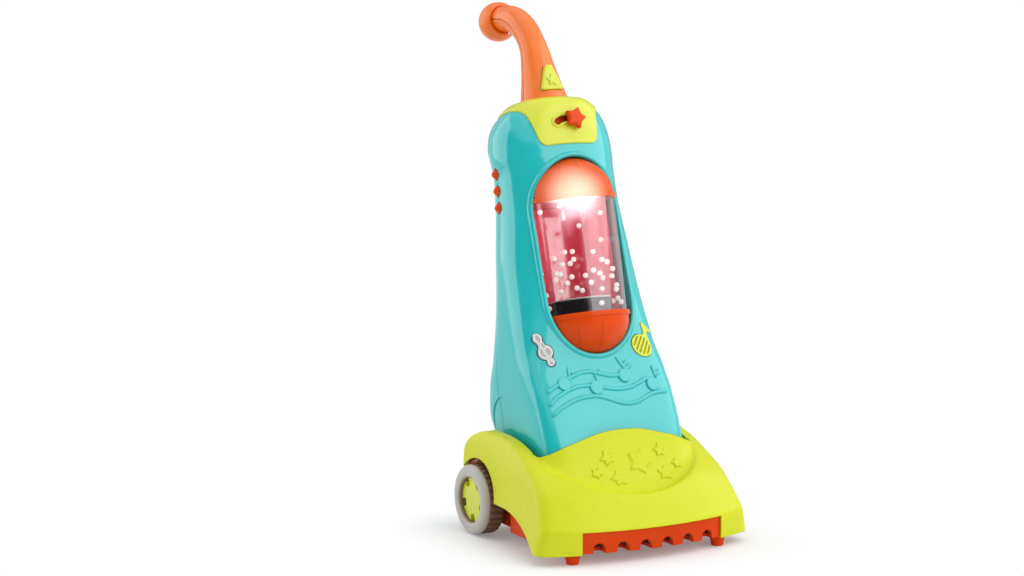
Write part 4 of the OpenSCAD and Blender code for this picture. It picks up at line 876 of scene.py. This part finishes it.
room_under = hood_solid(COVER_WALL, COVER_WALL * sqrt(2))
walls = [side_block(side, WELL_HALF, WELL_HALF + COVER_WALL, rim_y(WELL_HALF), 44, 130) for side in (1, -1)]
spots = np.linspace(-WELL_HALF, WELL_HALF, 93)
well = [(WELL_HALF, CUT_BACK), (-WELL_HALF, CUT_BACK)] + [(x, rim_y(x)) for x in spots]
cover = cut(hood, cut(room_under, *walls), prism(well, 160, shift(0, 0, CUT_LOW)),
            block((-NOTCH_HALF, -200, CUT_LOW), (NOTCH_HALF, -DISH_FRONT, 32)))
for side in (1, -1):
    arch_at = shift(side * (WELL_HALF + COVER_WALL + 30), 0, AXLE_Z)
    sweep_at = shift(side * (WELL_HALF + 30), SWEEP_Y, SWEEP_Z)
    cover = cut(cover, bar(ARCH_R, 60, arch_at @ turned(90, "Y"), 128),
                side_block(side, WELL_HALF, 140, SWEEP_Y, CUT_LOW, SWEEP_TOP),
                bar(SWEEP_R, 60, sweep_at @ turned(90, "Y"), 256))
piece(cover, "cover_skin", "head", HOOD_LIME, WORLD, stands_for=["head_cover"], crease=35, recalc=False)

# %% [markdown]
# Under each fender the orange base shows as a thin lining of the wheel arch. It is an arc with a small
# thickness, pushed sideways.

# %% Linings of the wheel arches
bend = np.radians(np.linspace(47, 164, 40))
lining = arc(ARCH_R - 0.5, bend) + arc(ARCH_R - 1.7, reversed(bend))
linings = [prism(lining, 12, sideways(side, WELL_HALF + COVER_WALL + 0.5, AXLE_Z)) for side in (1, -1)]
piece(join(*linings), "arch_linings", "head", BASE_ORANGE, WORLD)

# %% [markdown]
# ## Cap
# The lime cap sits on the shoulder like a saddle, with a tongue down the front. Its lower edge is one
# long curve. The grid runs from that edge up to the handle, and its first rows roll over the edge.

# %% Cap
CAP_T, HALF_GIRTH = 1.8, 160
edge_points = [(0, 307.3), (10, 307.2), (20, 306.8), (25, 306.6), (28.6, 307.7), (31.2, 310.4), (32.8, 314.4),
               (34, 318.9), (35.1, 324.2), (36.2, 329.5), (37.6, 334.7), (39.2, 339.1), (41.2, 342.6), (43.6, 345),
               (47, 346.4)]
cap_edge = [(walk_to(x, w) if x else 0.0, w) for x, w in edge_points]
turn = cap_edge[-1][0]
cap_edge += [(turn + (1 - turn) * t, w) for t, w in ((0.1, 347), (0.26, 346), (0.5, 343), (0.75, 340), (1, 338.5))]
EDGE_S, EDGE_W = np.array(cap_edge).T
EDGE_GONE = lengths(np.stack((EDGE_S * HALF_GIRTH, EDGE_W), 1))
EDGE_GONE /= EDGE_GONE[-1]
CAP_ROLL = [(0, -0.9), (0, 0.5), (0.12, 1.1), (0.45, 1.55), (1.0, 1.76), (1.8, CAP_T)]
CAP_ROWS = 26


def cap_point(u, v):
    q = 2 * u - 1
    at = abs(q)
    s, low = float(through(EDGE_GONE, EDGE_S, at)), float(through(EDGE_GONE, EDGE_W, at))
    ring = round(v * (len(CAP_ROLL) + CAP_ROWS - 1))
    up, lift = CAP_ROLL[min(ring, len(CAP_ROLL) - 1)]
    t = max(0, ring - len(CAP_ROLL) + 1) / CAP_ROWS
    w = low + up + (BODY_H - low - up) * t
    s = s + (at - s) * t
    return on_skin(copysign(min(s, 1), q), w, lift) + Vector((0, 0, lift * t * t))


cap = sheet(320, len(CAP_ROLL) + CAP_ROWS - 1, cap_point)
top_edges = [e for e in cap.edges if e.is_boundary and min(v.co.z for v in e.verts) > 350]
bmesh.ops.holes_fill(cap, edges=top_edges, sides=0)
thicken(face_out(cap, lambda p: -p.z, (0, 0, 1)), 0.8)
cap = cut(cap, prism(slot_outline(7), 30, STAR_FRAME @ shift(0, 0, -15)))
piece(cap, "cap_skin", "upright", LIME, stands_for=["top_cap"], recalc=False)

# %% [markdown]
# A low lip runs round the slot. It follows the slot's outline and lies on the curved cap, so each of its
# points is dropped on the skin along the slot's own axis. A small oval is then swept along them.

# %% Lip of the slot
LIP_THICK = 1.4
lip_ring = []
for x, y in slot_outline(9.4):
    p = STAR_FRAME @ Vector((x, y, 0))
    s = walk_to(p.x, p.z)
    lip_ring.append((on_skin(s, p.z, CAP_T + 0.1), skin_out(s, p.z)))


def sweep(route, wide, tall, taper=0.35, ring=False):
    """A line of oval section along a route of (point, outward) pairs: a ring, or closed by tapered ends."""
    last = len(route) - 1

    def place(u, v):
        k = round(v * (last + ring)) % len(route)
        p, out = route[k]
        ahead, behind = ((k + 1) % len(route), k - 1) if ring else (min(k + 1, last), max(k - 1, 0))
        side = (route[ahead][0] - route[behind][0]).normalized().cross(out).normalized()
        r = taper if k in (0, last) and not ring else 1
        a = tau * u
        return p + side * (r * wide * cos(a)) + out * (r * tall * sin(a))

    bm = sheet(10, last + ring, place)
    return bm if ring else close_ends(bm)


piece(sweep(lip_ring, LIP_THICK, LIP_THICK, ring=True), "slot_lip", "upright", LIME, crease=70)

# %% [markdown]
# ## Handle, knob and button
# The handle is a tube that narrows as it bends back to a ball. It is moulded as a front half and a rear
# half, which meet in a fine seam at each side.

# %% Handle halves
HANDLE_AT, HANDLE_FOOT, NECK_RISE, NECK_TILT, BEND_R, BEND_TURN = -20.8, 356.8, 45, 8, 63, 84
GRIP_R, FOOT_R, NECK_EASE, NECK_SHARE, NECK_THIN = 13.5, 24.5, 1.6, 0.3, 0.62


def neck_r(t):
    return GRIP_R + (FOOT_R - GRIP_R) * max(0.0, 1 - t) ** NECK_EASE


def handle_row(t):
    """Middle, tilt in radians and radius of the handle, from its foot (0) to the knob (1)."""
    tilt = radians(NECK_TILT)
    if t < NECK_SHARE:
        k = t / NECK_SHARE
        return HANDLE_AT + k * NECK_RISE * tan(tilt), HANDLE_FOOT + k * NECK_RISE, k * tilt, neck_r(NECK_THIN * k)
    k = (t - NECK_SHARE) / (1 - NECK_SHARE)
    a = tilt + k * radians(BEND_TURN)
    return (HANDLE_AT + NECK_RISE * tan(tilt) + BEND_R * (cos(tilt) - cos(a)),
            HANDLE_FOOT + NECK_RISE + BEND_R * (sin(a) - sin(tilt)), a, neck_r(min(1, NECK_THIN + 1.4 * k)))


def handle_half(rear):
    gap = 0.008

    def place(u, v):
        y, z, tilt, r = handle_row(v)
        a = pi * (gap + (1 - 2 * gap) * u) + (0 if rear else pi)
        return Vector((r * cos(a), y + r * sin(a) * cos(tilt), z - r * sin(a) * sin(tilt)))

    return thicken(face_out(sheet(48, 84, place), lambda p: p.z, (0, 1 if rear else -1, 0)), 2.4)


BUTTON_FRAME = shift(0, HANDLE_AT - neck_r(0.24) + 1.6, 379) @ turned(90 - 8.3, "X")


def button_outline(grow):
    """A trapezium with round corners."""
    corners, lean = [(9.5, -11), (2, 11), (-2, 11), (-9.5, -11)], atan2(7.5, 22)
    limits = (-pi / 2, lean, pi / 2, pi - lean, 1.5 * pi)
    return [p for (x, y), a0, a1 in zip(corners, limits, limits[1:])
            for p in arc(2 + grow, np.linspace(a0, a1, 6), x, y)]


grip = cut(handle_half(False), prism(button_outline(0.5), 24, BUTTON_FRAME @ shift(0, 0, -12)))
piece(grip, "handle_front_skin", "upright", HANDLE_LIT_ORANGE, stands_for=["handle_front"], recalc=False)
piece(handle_half(True), "handle_rear_skin", "upright", HANDLE_LIT_ORANGE, stands_for=["handle_rear"],
      recalc=False)

# %% Knob
end_y, end_z, end_tilt, _ = handle_row(1)
KNOB_FRAME = shift(0, end_y, end_z) @ Matrix.Rotation(-end_tilt, 4, "X")
KNOB_R, KNOB_UP = 20.5, 41 / 6
low_a = asin((-41 / 8 - KNOB_UP) / KNOB_R)
ball = arc(KNOB_R, np.linspace(low_a + 0.06, pi / 2, 30), 0, KNOB_UP)
lip = KNOB_UP + KNOB_R * sin(low_a)
profile = [(0, 0.4), (13.6, 0.4), (13.6, lip + 1.2), (14.4, lip + 0.2), (15.2, lip), (ball[0][0] - 0.5, lip)] + ball
profile[-1] = (0, KNOB_UP + KNOB_R)
piece(lathe(profile, 72), "knob_skin", "upright", HANDLE_LIT_ORANGE, UPRIGHT @ KNOB_FRAME,
      stands_for=["handle_knob"])

# %% [markdown]
# The lime button on the handle is a pad with a rolled edge. An extruded outline is bevelled all round its
# front face, and a small star is raised on it.

# %% Handle button
def pad(points, depth, roll, segments=3):
    """A pad: an outline pushed forward, with its front edges rolled."""
    bm = prism(points, depth)
    front_edges = [e for e in bm.edges if all(v.co.z > depth - 0.001 for v in e.verts)]
    bmesh.ops.bevel(bm, geom=front_edges, offset=roll, offset_type="OFFSET", segments=segments, profile=0.5,
                    affect="EDGES", clamp_overlap=True, material=-1)
    return bm


def star_outline(r, waist=0.5, turn=0.0):
    return [arc(r * waist if k % 2 else r, [pi / 2 + turn + k * pi / 5])[0] for k in range(10)]


button = moved(pad(button_outline(0), 9, 0.9), shift(0, 0, -7.4))
emblem = moved(pad(star_outline(6.6), 1.8, 0.35, 2), shift(0, -3.5, 0.9))
piece(join(button, emblem), "handle_button_skin", "handle_button", LIME, UPRIGHT @ BUTTON_FRAME,
      stands_for=["handle_button"])

# %% [markdown]
# ## Star lever
# The lever's star is thick and rounded. Its own arm and stem hide under the cap, so they are kept short
# and plain.

# %% Star lever
star = moved(pad(star_outline(11.5, 0.64), 6.4, 2.2, 5), shift(0, SWING_R, 2.5))
stem = bar(3, 9.6, shift(0, SWING_R, 0.2), 32)
fan = [(-5, -2), (5, -2)] + arc(27, np.radians(np.linspace(35, 175, 25)))
arm = prism(fan, 1.6, shift(0, 0, -6.9))
piece(join(star, stem, arm), "star_skin", "star", ORANGE, UPRIGHT @ STAR_FRAME @ turned(-21, "Z"),
      stands_for=["star_lever"])

# %% [markdown]
# ## Side buttons
# Three pointed domes show at the left side. Each is a profile that is spun, with its flange behind the
# shell.

# %% Side buttons
dome = [(0, 4.6), (0.9, 4.5), (1.8, 4.1), (2.9, 3.2), (3.9, 2.2), (4.7, 1.2), (5.25, 0.4), (5.5, -0.6), (5.5, -4.9),
        (7, -4.9), (7, -6.4), (0, -6.4)]
for name, w in zip(("top", "middle", "bottom"), SIDE_WS):
    piece(lathe(dome, 48), f"side_button_{name}_skin", f"side_button_{name}", ORANGE,
          UPRIGHT @ side_frame(w), stands_for=[f"side_button_{name}"])

# %% [markdown]
# ## Wheels
# The tyre is soft grey plastic: a smooth round rim outside and a ribbed tread inside. The profile runs
# once round the section, and the tread's radius rises and falls with the ribs.

# %% Tyres
WHEEL_W, WHEEL_OUT, RIBS, RIB_H, BORE_R = 24, 116, 30, 1.8, 22
TYRE_SECTION = [(BORE_R, 0, 0), (28, 0, 0), (32.4, 0, 0), (33.0, 0.5, 0.2), (33.2, 1.2, 0.75), (33.2, 2.2, 1),
                (33.2, 6, 1), (33.2, 10, 1), (33.2, 13.4, 1), (33.2, 14.5, 0.8), (33.2, 15.2, 0.25), (33.2, 15.7, 0),
                (33.3, 16.2, 0), (34.2, 16.6, 0), (34.8, 17.4, 0), (35, 18.6, 0), (34.7, 20.4, 0), (33.8, 22.0, 0),
                (32.3, 23.2, 0), (30.4, 23.85, 0), (28.2, 24, 0), (26, 23.9, 0), (24.2, 23.3, 0), (23.0, 22.2, 0),
                (22.4, 20.6, 0), (BORE_R, 18.6, 0), (BORE_R, 9, 0), (BORE_R, 0, 0)]


def tyre_point(u, v):
    r, along, rib = row_at(TYRE_SECTION, v)
    a = tau * u
    r += RIB_H * rib * ease(clamp((0.5 + 0.5 * cos(RIBS * a) - 0.18) / 0.5))
    return spun(r, a, along)


for name, side in (("left", -1), ("right", 1)):
    stand = shift(side * (WHEEL_OUT - WHEEL_W), 0, AXLE_Z) @ turned(90 * side, "Y")
    piece(sheet(360, len(TYRE_SECTION) - 1, tyre_point), f"tyre_{name}_skin", f"wheel_{name}", TYRE,
          stand, stands_for=[f"tyre_{name}"])

# %% [markdown]
# ## Canister
# The clear tube, its two orange domes and the crimson liner behind are turned parts. The domes carry fine
# parting lines, drawn as shallow grooves in the grid.

# %% Canister finishes
TUBE_V, TUBE_LOW, TUBE_HIGH, TUBE_R = -44, 136, 251, 46
LAMP_AT = (Matrix.Scale(MM, 4) @ UPRIGHT) @ Vector((-11, TUBE_V - 34, TUBE_HIGH + 1))


def painted_glow(made, colour, strength, near, far):
    """Painted glow: emission that stands in for the lamp's light coming through a plastic, full at one distance in
    metres and none at another.
    """
    tree = made.node_tree
    gap = vector(tree, "DISTANCE", add_node(tree, "TexCoord").outputs["Object"], LAMP_AT)
    mask = ramp(tree, gap, near, far, 1, 0, "SMOOTHERSTEP")
    feed(tree, tree.nodes["Principled BSDF"], {"Emission Color": blend(tree, mask, (0, 0, 0, 1), (*colour, 1)),
                                               "Emission Strength": strength})
    return made


# The top dome and the crimson liner get a painted glow of the lamp's light on top of their own colours.
TOP_DOME = painted_glow(plastic("lit_orange_plastic", (0.840, 0.100, 0.008), shine=0.2), (1, 0.74, 0.58), 1.25, 0.003, 0.040)
CRIMSON = painted_glow(plastic("crimson_foil", (0.700, 0.030, 0.060), gloss=0.02, shine=1), (0.62, 0.05, 0.10), 0.5, 0.03, 0.20)
CRIMSON.node_tree.nodes["Principled BSDF"].inputs["IOR"].default_value = 1.9
CLEAR = bpy.data.materials.new("clear_plastic")
CLEAR.use_nodes = True
tree = CLEAR.node_tree
feed(tree, tree.nodes["Principled BSDF"], {
    "Transmission Weight": 1, "IOR": 1.6, "Specular IOR Level": 1, "Base Color": (1, 0.97, 0.98, 1),
    "Roughness": ramp(tree, noise(tree, 45, 3), 0, 1, 0.02, 0.07)})
# The clear tube gets a pale pink painted glow near the lamp.
painted_glow(CLEAR, (1, 0.80, 0.88), 1.0, 0.001, 0.034)
print("lamp at", [round(c, 3) for c in LAMP_AT])

# %% Tube, liner and domes
ON_TUBE = UPRIGHT @ shift(0, TUBE_V, 0)
TUBE_IN, LINER_R = TUBE_R - 1.6, 44
tube = lathe([(TUBE_R, TUBE_LOW - 2), (TUBE_R, TUBE_HIGH + 2), (TUBE_IN, TUBE_HIGH + 2), (TUBE_IN, TUBE_LOW - 2)],
             128, closed=True)
piece(tube, "tube_skin", "upright", CLEAR, ON_TUBE, stands_for=["canister_tube"])


def liner_point(u, v):
    return spun(LINER_R, pi * (0.01 + 0.98 * u), TUBE_LOW + 0.5 + 114 * v)


liner = thicken(sheet(64, 24, liner_point), -0.9)
piece(liner, "liner_skin", "upright", CRIMSON, ON_TUBE, stands_for=["canister_liner"])
LIP_R, RIM_R, DOME_H, LIP_H = 48, 46.5, 45, 4
DOME_SECTION = ([(0, -0.2), (44, -0.2), (44.2, 2.6), (46.2, 2.6), (46.2, -1.0), (47.5, -1.0), (LIP_R, -0.5),
                 (LIP_R, 3.3), (47.5, LIP_H), (RIM_R + 0.1, LIP_H + 0.1)]
                + [(RIM_R * x, LIP_H + (DOME_H - LIP_H) * y)
                   for x, y in arc(1, np.radians(np.linspace(0, 90, 26)[1:]))])
GROOVES = [-126, -94, -38, 40, 140]
turns = sorted([a for a in range(-180, 180, 3) if min(abs(a - g) for g in GROOVES) > 1.6]
               + [g + d for g in GROOVES for d in (-1.3, -0.55, 0, 0.55, 1.3)]) + [180]


def dome_point(u, v):
    (r, z), a = row_at(DOME_SECTION, v), row_at(turns, u)
    if v > 0.35 and min(abs(a - g) for g in GROOVES) < 0.1:
        r, z = r - 0.45 * min(1, r / 20), z - 0.2
    return spun(max(r, 0), radians(a), z)


for name, w, flip, finish in (("top", TUBE_HIGH, 1, TOP_DOME), ("bottom", TUBE_LOW, -1, ORANGE)):
    stand = UPRIGHT @ shift(0, TUBE_V, w) @ Matrix.Scale(flip, 4, (0, 0, 1))
    bm = sheet(len(turns) - 1, len(DOME_SECTION) - 1, dome_point)
    piece(bm, f"{name}_dome_skin", "upright", finish, stand, stands_for=[f"{name}_dome"])

# %% [markdown]
# Foam beads whirl over the drum. Each is a small icosphere that stands inside the tube where the
# photograph shows a bead. A pale rim marks the drum's top.

# %% Beads and the drum's rim
BEADS = [
    (-13.1, -47.8, 200.7), (-1.4, -42.8, 201.4), (23.4, -40.6, 200.0), (-18.5, -34.4, 196.4), (-1.2, -42.9, 193.4),
    (-10.6, -35.3, 190.0), (-21.9, -72.8, 186.8), (24.8, -54.4, 190.1), (38.2, -34.4, 212.2), (33.9, -46.7, 238.1),
    (13.3, -36.2, 227.6), (-28.1, -54.3, 179.4), (-29.0, -63.6, 177.6), (-28.6, -51.2, 173.4), (-9.3, -49.9, 175.5),
    (-6.8, -73.4, 173.8), (7.5, -64.9, 179.1), (15.8, -62.3, 176.0), (34.2, -35.5, 173.3), (27.9, -67.3, 179.0),
    (25.6, -68.2, 171.7), (-35.3, -35.4, 181.9), (-10.4, -59.7, 163.1), (-15.7, -35.2, 162.5), (22.6, -51.1, 161.1),
    (-37.6, -45.1, 159.3), (29.4, -67.2, 158.1), (27.3, -72.0, 162.0), (-39.1, -51.0, 145.6), (36.6, -45.8, 148.4),
    (37.7, -54.6, 150.2), (34.6, -64.8, 145.3), (-33.4, -45.2, 242.7), (-12.0, -47.5, 247.5), (-0.5, -72.2, 166.6),
    (-1.7, -54.2, 160.8), (-23.0, -64.5, 168.2), (20.1, -71.7, 185.7), (4.5, -78.5, 145.0), (31.8, -20.5, 141.0),
]
# The beads get a painted glow, brightest near the lamp.
IVORY = painted_glow(plastic("ivory_bead", (0.90, 0.87, 0.80), gloss=0.3, edge=0.1), (0.95, 0.90, 0.86), 0.6, 0.02, 0.26)
swarm = bmesh.new()
for at in BEADS:
    bmesh.ops.create_icosphere(swarm, subdivisions=3, radius=2.6, matrix=Matrix.Translation(at))
piece(swarm, "bead_swarm", "upright", IVORY, stands_for=["beads"])
rim = lathe([(30.2, 151.4), (31.7, 151.4), (31.7, 152.3), (31.3, 152.8), (30.6, 152.8), (30.2, 152.3)], 96, closed=True)
piece(rim, "drum_rim", "agitator", OFF_WHITE, ON_TUBE)

# %% [markdown]
# ## Raised music on the body
# Three wavy stave lines and four round notes stand proud of the front. A line is a half-sunk tube swept
# along its route on the skin, and a note's head is a low disc draped over the skin.

# %% Swept lines
def smooth_line(points, samples):
    """Places along a smooth curve through points of a plane."""
    gone = lengths(points)
    at = np.linspace(0, gone[-1], samples)
    return zip(*(through(gone, row, at) for row in np.array(points, float).T))


def skin_route(points, samples):
    """A smooth route through (x, w) places on the front skin."""
    walks = [(walk_to(x, w), w) for x, w in smooth_line(points, samples)]
    return [(on_skin(s, w, 0.05), skin_out(s, w)) for s, w in walks]


STAVE = [
    [(-67, 61.2), (-61.7, 64.6), (-54, 68.3), (-44.4, 72.4), (-34.8, 76), (-25.5, 78.5), (-16.6, 79.1), (-7.2, 76.7),
     (-1.3, 75.1), (6.9, 72.9), (14.4, 72.7), (20, 73.4)],
    [(-68, 48.2), (-61.5, 53.9), (-52.1, 59), (-39.8, 63.5), (-29.3, 65.3), (-20.7, 65.1), (-12.3, 63.8), (-5.4, 62),
     (4, 59.8), (13.7, 58.6), (24.1, 59.3), (34, 62.4), (44.2, 66.1), (50, 67.3)],
    [(-67.5, 38), (-59.6, 43.6), (-49, 48.6), (-38.3, 52.1), (-27.9, 53.9), (-17.8, 54.1), (-8.3, 52.3), (0.7, 48.8),
     (9.9, 45.4), (19.4, 43.3), (28.5, 44.2), (38.4, 47.8), (48.5, 51.2), (58.2, 52), (66, 51.4)],
]
NOTES = [((-46.8, 68.7), [(-39.5, 69), (-38.7, 85)], [[(-37, 79.5), (-31.5, 77.5)], [(-37, 76), (-32, 74.3)]]),
         ((-12.9, 62.1), [(-9, 66), (-11.5, 78.5)], [[(-8.5, 77.6), (-3, 80.6)], [(-7, 74.5), (-1.5, 77.6)]]),
         ((21.7, 71.5), [(24.5, 77), (17, 91.2)],
          [[(23.5, 84.5), (29, 87.3)], [(26, 80.8), (32, 84)], [(28.5, 78), (35, 81.4)]]),
         ((50.8, 60.4), [(57.4, 66), (55.2, 79.2)], [[(58.5, 73), (64.5, 75)], [(59, 69), (65, 70.6)]])]
lines = [sweep(skin_route(points, 64), 2.3, 1.7) for points in STAVE]
for _, stem, flags in NOTES:
    lines.append(sweep(skin_route(stem, 12), 1.3, 1.3))
    lines += [sweep(skin_route(flag, 6), 0.9, 0.9) for flag in flags]
piece(join(*lines), "stave_lines", "upright", TEAL, crease=60)


# %% Note heads
def disc_on_skin(x, w, radius, proud):
    rings = [(0, 1), (0.3, 1), (0.6, 1), (0.82, 1), (0.93, 0.9), (0.985, 0.62), (1, 0.1), (1, -0.8)]

    def place(u, v):
        share, high = row_at(rings, v)
        a = tau * u
        px, pw = x + radius * share * cos(a), w + radius * share * sin(a)
        return on_skin(walk_to(px, pw), pw, proud * high)

    return close_ends(sheet(40, len(rings) - 1, place))


heads = [disc_on_skin(x, w, 7, 2) for (x, w), _, _ in NOTES]
piece(join(*heads), "note_heads", "upright", TEAL, crease=40)

# %% [markdown]
# ## Raised stars in the dish
# Seven low stars are scattered over the hollow. Each is an inset star face, lifted a little and laid on
# the dish.

# %% Stars
DISH_STARS = [(-21.5, -112.3, 9.6, 0.25), (-36.6, -119, 7.6, 0.55), (-15.6, -126, 10.8, 0.1),
              (12.4, -116.5, 16.5, -0.35), (38.5, -109.5, 8.6, 0.3), (37.2, -125, 10.6, -0.2),
              (54.5, -116.8, 6.8, 0.15)]


def on_dish(x, y):
    return Vector((x, y, dished(x, y, hood_z(x, y))))


def dish_axes(x, y):
    """Two axes along the dish and the one that looks out of it."""
    out = (on_dish(x + 1, y) - on_dish(x - 1, y)).cross(on_dish(x, y + 1) - on_dish(x, y - 1)).normalized()
    side = Vector((0, 1, 0)).cross(out).normalized()
    return side, out.cross(side), out


stars = []
for x, y, r, turn in DISH_STARS:
    bm = bmesh.new()
    face = bm.faces.new([bm.verts.new((a, b, 0)) for a, b in star_outline(r * 1.06, 0.56, turn)])
    bmesh.ops.inset_region(bm, faces=[face], thickness=0.55, depth=0)
    bmesh.ops.triangulate(bm, faces=[f for f in bm.faces if len(f.verts) > 4])
    for _ in range(2):
        bmesh.ops.subdivide_edges(bm, edges=bm.edges[:], cuts=1, use_grid_fill=True)
    side, up, out = dish_axes(x, y)
    rim = {v for e in bm.edges if e.is_boundary for v in e.verts}
    for v in bm.verts:
        spot = on_dish(x, y) + side * v.co.x + up * v.co.y
        v.co = on_dish(spot.x, spot.y) + out * (-0.4 if v in rim else 1.35)
    under = bmesh.ops.extrude_face_region(bm, geom=bm.faces[:])
    bmesh.ops.translate(bm, vec=out * -1.6, verts=verts_of(under))
    stars.append(bm)
piece(join(*stars), "dish_stars", "head", HOOD_LIME, WORLD, crease=28)

# %% [markdown]
# ## Clef button
# The off-white button is shaped like a treble clef. Its plate fills the hole that was cut for it and is grey,
# a painted shade in the grooves between the off-white ridges. The curl of the clef is a rounded ridge that lies
# on the plate, and a second ridge follows the plate's edge.

# %% Clef relief
curl = [(-2, -15.3), (-2.5, -13), (-0.7, -11.4), (1.9, -12.8), (1.5, -16), (-0.5, -8), (-1.2, 0), (-1.6, 7), (-3, 13),
        (-1.2, 17.2), (2.2, 16), (2.6, 11.5), (0.2, 7.5), (-3, 3.5), (-5.8, -1.5), (-4.4, -6.8), (0.4, -8.6), (5, -6.4),
        (5.6, -2), (2.6, 1), (-1, 0), (-2.2, -3.4), (0.4, -5)]
CLEF_PROUD = 1.4


def on_plate(points):
    return [(Vector((x, y, CLEF_PROUD)), Vector((0, 0, 1))) for x, y in points]


# The plate is grey under the off-white ridges: painted shade in the grooves between them.
CLEF_SHADE_GREY = plastic("clef_plate_painted_shade", (0.560, 0.560, 0.570), gloss=0.3)
plate = prism(clef_outline(0), 5 + CLEF_PROUD, shift(0, 0, -5))
piece(plate, "clef_plate", "clef_button", CLEF_SHADE_GREY, UPRIGHT @ clef_frame, stands_for=["clef_button"])
ridge = sweep(on_plate(smooth_line(curl, 150)), 1.25, 1.05, 0.5)
brim = sweep(on_plate(clef_outline(-1) + clef_outline(-1)[:1]), 0.85, 0.8, 0.8)
piece(join(ridge, brim), "clef_relief", "clef_button", OFF_WHITE, UPRIGHT @ clef_frame, crease=60)

# %% [markdown]
# ## Note grille
# The lime note covers the speaker. Its head and its stem with the flag are pushed out flat and joined, five
# slanted slots are cut into the head, and the whole is then bent onto the body.

# %% Note grille
STEM = [(1.5, 7.5), (2.9, 9.6), (5, 12.1), (3.7, 21.2), (4.7, 22.2), (6.4, 21), (10.5, 17.5), (14.3, 14.9),
        (16.4, 13.2), (13.2, 11.7), (10.4, 12.7), (8.4, 10.8), (8.8, 8.5), (11.3, -1), (9, -3)]
SLOT_TURN, SLOT_PITCH, SLOT_HALF, SLOT_LONG = -33.8, 4.3, 1.05, 16
note = prism(note_head(0), 3.2, shift(0, 0, -2))
note = combine(note, prism(STEM, 2, shift(0, 0, -0.8)), "UNION")
slots = []
for k in range(-2, 3):
    strip = [(k * SLOT_PITCH + a * SLOT_HALF, b * SLOT_LONG) for a, b in ((-1, -1), (1, -1), (1, 1), (-1, 1))]
    slots.append(prism(strip, 6, shift(*NOTE_MID, -1) @ turned(SLOT_TURN, "Z")))
inner = prism(note_head(-1.9), 5, shift(0, 0, -0.9))
note = cut(note, combine(join(*slots), inner, "INTERSECT"))
bmesh.ops.triangulate(note, faces=note.faces[:])
for v in note.verts:
    w = NOTE_AT[1] + v.co.y
    s = walk_to(NOTE_AT[0] + v.co.x, w)
    v.co = on_skin(s, w) + skin_out(s, w) * v.co.z
piece(note, "note_skin", "upright", LIME, stands_for=["note_grille"])

# %% [markdown]
# ## Kept CAD pieces
# Solids whose shape is right stay as they are and only get their finish: the base and its feet, the hubs,
# the drum, the lamp, and the metal and electric pieces inside.

# %% Metals and small finishes
def metal(name, colour, rough, scratch):
    made, tree, shader, height = moulded(name, colour, rough, 0.8)
    bump = add_node(tree, "Bump", {"Strength": scratch, "Distance": 0.0003, "Height": height})
    feed(tree, shader, {"Metallic": 1, "Normal": bump.outputs["Normal"]})
    return made


STEEL = metal("zinc_steel", (0.62, 0.62, 0.64), 0.25, 0.1)
CELL = metal("cell_sleeve", (0.62, 0.44, 0.10), 0.3, 0.05)
DARK = plastic("dark_plastic", (0.020, 0.019, 0.024), gloss=0.12)
BOARD = plastic("solder_mask", (0.020, 0.160, 0.060), gloss=0.3)
LAMP = plastic("lamp_lens", (0.95, 0.94, 0.92), gloss=0.05)
feed(LAMP.node_tree, LAMP.node_tree.nodes["Principled BSDF"],
     {"Emission Color": (1, 0.97, 0.98, 1), "Emission Strength": 12})
print("metals and small finishes", [m.name for m in (STEEL, CELL, DARK, BOARD, LAMP)])

# %% Give the kept nodes their finish
FINISHES = {
    "base_plate": BASE_ORANGE, "glide_foot_left": BASE_ORANGE, "glide_foot_right": BASE_ORANGE,
    "hub_left": LIME, "hub_right": LIME, "led_lamp": LAMP, "circuit_board": BOARD, "batteries": CELL,
    "hinge_washer_left": DARK, "hinge_washer_right": DARK, "pivot_chassis": DARK, "agitator": DARK,
    "speaker": DARK,
}
shown_nodes = {name: thing for name, thing in nodes.items() if not thing.hide_render}
for name, thing in shown_nodes.items():
    thing.data.materials.clear()
    thing.data.materials.append(FINISHES.get(name, STEEL))
print("kept nodes", len(shown_nodes))
